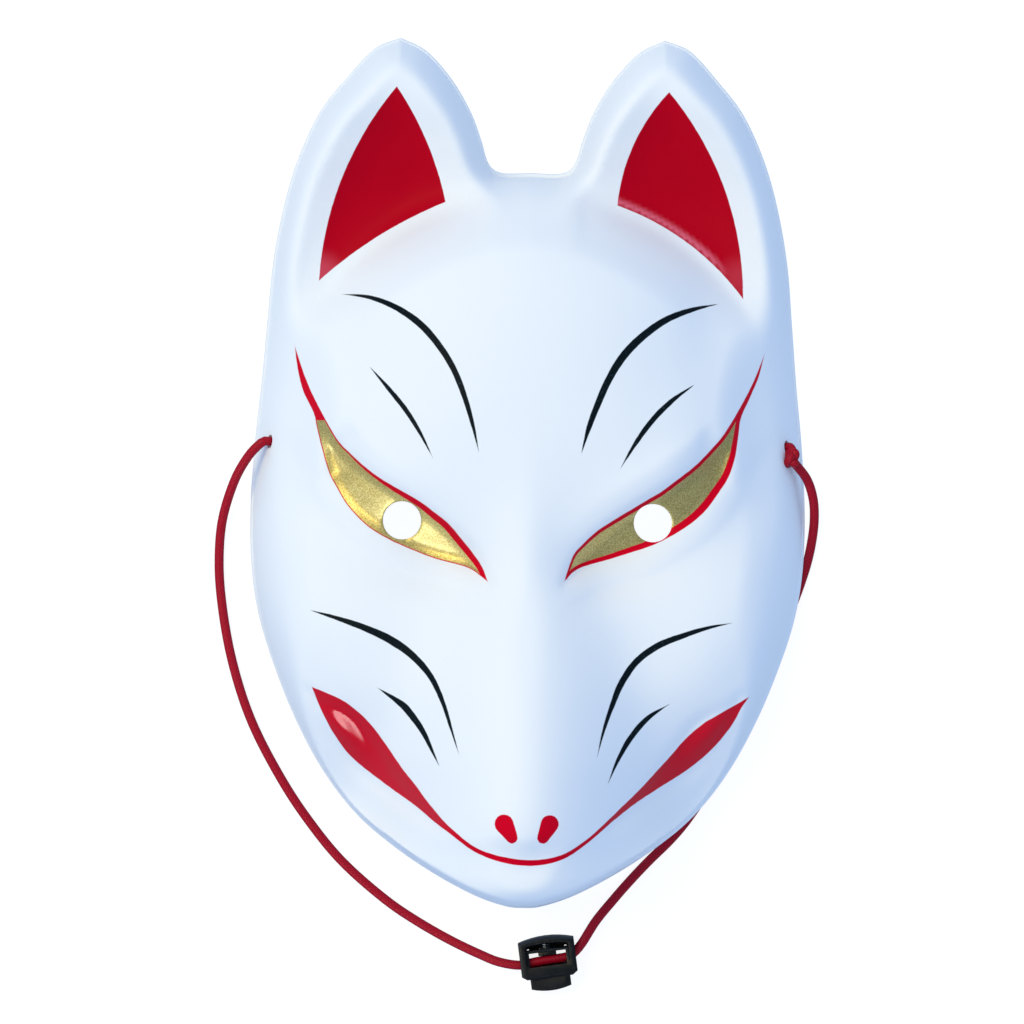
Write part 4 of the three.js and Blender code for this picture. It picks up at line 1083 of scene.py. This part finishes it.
# The painted highlight on the ears' red, and how far the mouth's clear gloss reaches
highlight_and_gloss = add(paint, "ShaderNodeAttribute", {"attribute_name": "red_highlight_and_gloss"})
highlight_and_gloss = add(paint, "ShaderNodeSeparateXYZ", Vector=highlight_and_gloss.outputs["Vector"]).outputs
# The ears' red, with the painted highlight mixed in where light catches it
ear_red_with_highlight = add(
    paint, "ShaderNodeMix", {"data_type": "RGBA"}, _0=highlight_and_gloss[0], _6=linear(EAR_RED), _7=linear(HIGHLIGHT_RED),
).outputs[2]
grains = add(paint, "ShaderNodeTexNoise", Vector=place, Scale=2600.0, Detail=2.0)  # bronze grains of 0.4 mm
grains = add(paint, "ShaderNodeMapRange", Value=grains.outputs[0], From_Min=0.35, From_Max=0.65).outputs[0]
gold = add(
    paint, "ShaderNodeMix", {"data_type": "RGBA"}, _0=grains, _6=linear(GOLD_SHADE), _7=linear(GOLD),
).outputs[2]
streaks = add(paint, "ShaderNodeTexNoise", Vector=place, Scale=1500.0, Detail=3.0)  # where the brush ran dry
streaks = add(paint, "ShaderNodeMapRange", Value=streaks.outputs[0], From_Min=0.6, From_Max=0.75).outputs[0]
black = add(
    paint, "ShaderNodeMix", {"data_type": "RGBA"},
    _0=streaks, _6=linear(LINE_BLACK), _7=linear(DRY_BRUSH_BLACK),
).outputs[2]
colour = linear(WHITE)
roughness = 0.48
layers = [
    ("ear", ear_red_with_highlight, 0.45), ("eye", linear(MOUTH_RED), 0.4), ("mouth", linear(MOUTH_RED), 0.35),
    ("nostril", linear(MOUTH_RED), 0.4), ("black_lines", black, 0.4), ("gold", gold, 0.42),
]
for name, its_colour, finish in layers:
    mix = add(paint, "ShaderNodeMix", {"data_type": "RGBA"}, _0=covers[name], _6=colour, _7=its_colour)
    colour = mix.outputs[2]
    mix = add(paint, "ShaderNodeMix", {"data_type": "FLOAT"}, _0=covers[name], _2=roughness, _3=finish)
    roughness = mix.outputs[0]
peel = add(paint, "ShaderNodeTexNoise", Vector=place, Scale=900.0, Detail=2.0)
peel_bump = add(paint, "ShaderNodeBump", Strength=0.15, Distance=0.0001, Height=peel.outputs[0])
clear_gloss = add(paint, "ShaderNodeMath", {"operation": "MULTIPLY"}, _0=covers["mouth"], _1=highlight_and_gloss[1])
half_metal = add(paint, "ShaderNodeMath", {"operation": "MULTIPLY"}, _0=covers["gold"], _1=0.6)
shell_shader = add(
    paint, "ShaderNodeBsdfPrincipled",
    Base_Color=colour, Roughness=roughness, Specular_IOR_Level=0.03, Metallic=half_metal.outputs[0],
    Coat_Weight=clear_gloss.outputs[0], Coat_Roughness=0.14, Normal=peel_bump.outputs["Normal"],
)
finish_with(paint, shell_shader.outputs["BSDF"])

# Bare ABS inside: white as it came out of the mould, with faint clouds where the plastic flowed
BARE_WHITE = "#EEF0F1"
BARE_SHADE = "#E6E8EA"
bare_plastic = new_material("bare_white_plastic")
place = add(bare_plastic, "ShaderNodeTexCoord").outputs["Object"]
flow = add(bare_plastic, "ShaderNodeTexNoise", Vector=place, Scale=35.0, Detail=3.0)
flow_colour = add(
    bare_plastic, "ShaderNodeMix", {"data_type": "RGBA"},
    _0=flow.outputs[0], _6=linear(BARE_SHADE), _7=linear(BARE_WHITE),
)
flow_bump = add(bare_plastic, "ShaderNodeBump", Strength=0.1, Distance=0.0002, Height=flow.outputs[0])
bare_shader = add(
    bare_plastic, "ShaderNodeBsdfPrincipled",
    Base_Color=flow_colour.outputs[2], Roughness=0.4, Normal=flow_bump.outputs["Normal"],
)
finish_with(bare_plastic, bare_shader.outputs["BSDF"])
shell_mesh.materials.append(paint)
shell_mesh.materials.append(bare_plastic)
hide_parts("mask_shell")
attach(shell, "mask")

# Floor and light
# A plain white surface under plain soft studio light: an even bluish light from all round, and a broad
# warmer lamp from the upper left, which whitens what faces it. To the camera the surface and what is
# behind it are white.
ROUND_LIGHT = (0.537, 0.712, 0.984, 1)
PAPER_WHITE = (1, 1, 1, 1)
DARK_STUDIO = (0.1, 0.13, 0.17, 1)  # what glossy paint mirrors, apart from the lamp and the soft boxes
SOFT_BOXES = [  # the way to each, the cosine at its edge, and its light
    ((-0.43, -0.65, 0.62), 0.945, 7.5),
    ((-0.96, -0.1, 0.26), 0.9, 1.2),
]
SOFT_BOX_FADE = 0.03  # of cosine from its edge to its full light
LAMP_WAY = Vector((-0.45, 0.33, 0.83))
LAMP_COLOUR = (1.0, 0.83, 0.42)
LAMP_STRENGTH = 1.75
LAMP_SPREAD = math.radians(35)
floor_mesh = bpy.data.meshes.new("floor")
floor_mesh.from_pydata([(-3, -3, 0), (3, -3, 0), (3, 3, 0), (-3, 3, 0)], [], [(0, 1, 2, 3)])
floor = bpy.data.objects.new("floor", floor_mesh)
bpy.context.scene.collection.objects.link(floor)
white_paper = new_material("white_paper")
rays = add(white_paper, "ShaderNodeLightPath").outputs
glow = add(white_paper, "ShaderNodeEmission", Color=PAPER_WHITE, Strength=0.88)
paper = add(white_paper, "ShaderNodeBsdfDiffuse", Color=(0.2, 0.2, 0.2, 1))
lit_paper = add(white_paper, "ShaderNodeAddShader", _0=glow.outputs[0], _1=paper.outputs[0])
to_others = add(
    white_paper, "ShaderNodeMix", {"data_type": "RGBA"},
    _0=rays["Is Glossy Ray"], _6=ROUND_LIGHT, _7=DARK_STUDIO,
)
even = add(white_paper, "ShaderNodeEmission", Color=to_others.outputs[2], Strength=1.12)
paper_mix = add(
    white_paper, "ShaderNodeMixShader",
    _0=rays["Is Camera Ray"], _1=even.outputs[0], _2=lit_paper.outputs[0],
)
finish_with(white_paper, paper_mix.outputs[0])
floor_mesh.materials.append(white_paper)

world = bpy.data.worlds.new("studio")
world.use_nodes = True
world.node_tree.nodes.clear()
rays = add(world, "ShaderNodeLightPath").outputs
way = add(world, "ShaderNodeTexCoord").outputs["Generated"]
in_gloss = DARK_STUDIO
for box_way, edge, brightness in SOFT_BOXES:
    to_box = add(world, "ShaderNodeVectorMath", {"operation": "DOT_PRODUCT"}, _0=way, _1=box_way)
    box = add(
        world, "ShaderNodeMapRange",
        Value=to_box.outputs["Value"], From_Min=edge, From_Max=edge + SOFT_BOX_FADE,
    )
    in_gloss = add(
        world, "ShaderNodeMix", {"data_type": "RGBA"},
        _0=box.outputs[0], _6=in_gloss, _7=(brightness, brightness, brightness, 1),
    ).outputs[2]
mirrored = add(
    world, "ShaderNodeMix", {"data_type": "RGBA"}, _0=rays["Is Glossy Ray"], _6=ROUND_LIGHT, _7=in_gloss,
)
backdrop = add(
    world, "ShaderNodeMix", {"data_type": "RGBA"},
    _0=rays["Is Camera Ray"], _6=mirrored.outputs[2], _7=PAPER_WHITE,
)
sky = add(world, "ShaderNodeBackground", Color=backdrop.outputs[2], Strength=1.0)
world_output = add(world, "ShaderNodeOutputWorld")
world.node_tree.links.new(sky.outputs[0], world_output.inputs["Surface"])
bpy.context.scene.world = world

lamp_data = bpy.data.lights.new("lamp", "SUN")
lamp_data.energy = LAMP_STRENGTH
lamp_data.color = LAMP_COLOUR
lamp_data.angle = LAMP_SPREAD
lamp = bpy.data.objects.new("lamp", lamp_data)
lamp.rotation_euler = LAMP_WAY.to_track_quat("Z", "Y").to_euler()
bpy.context.scene.collection.objects.link(lamp)
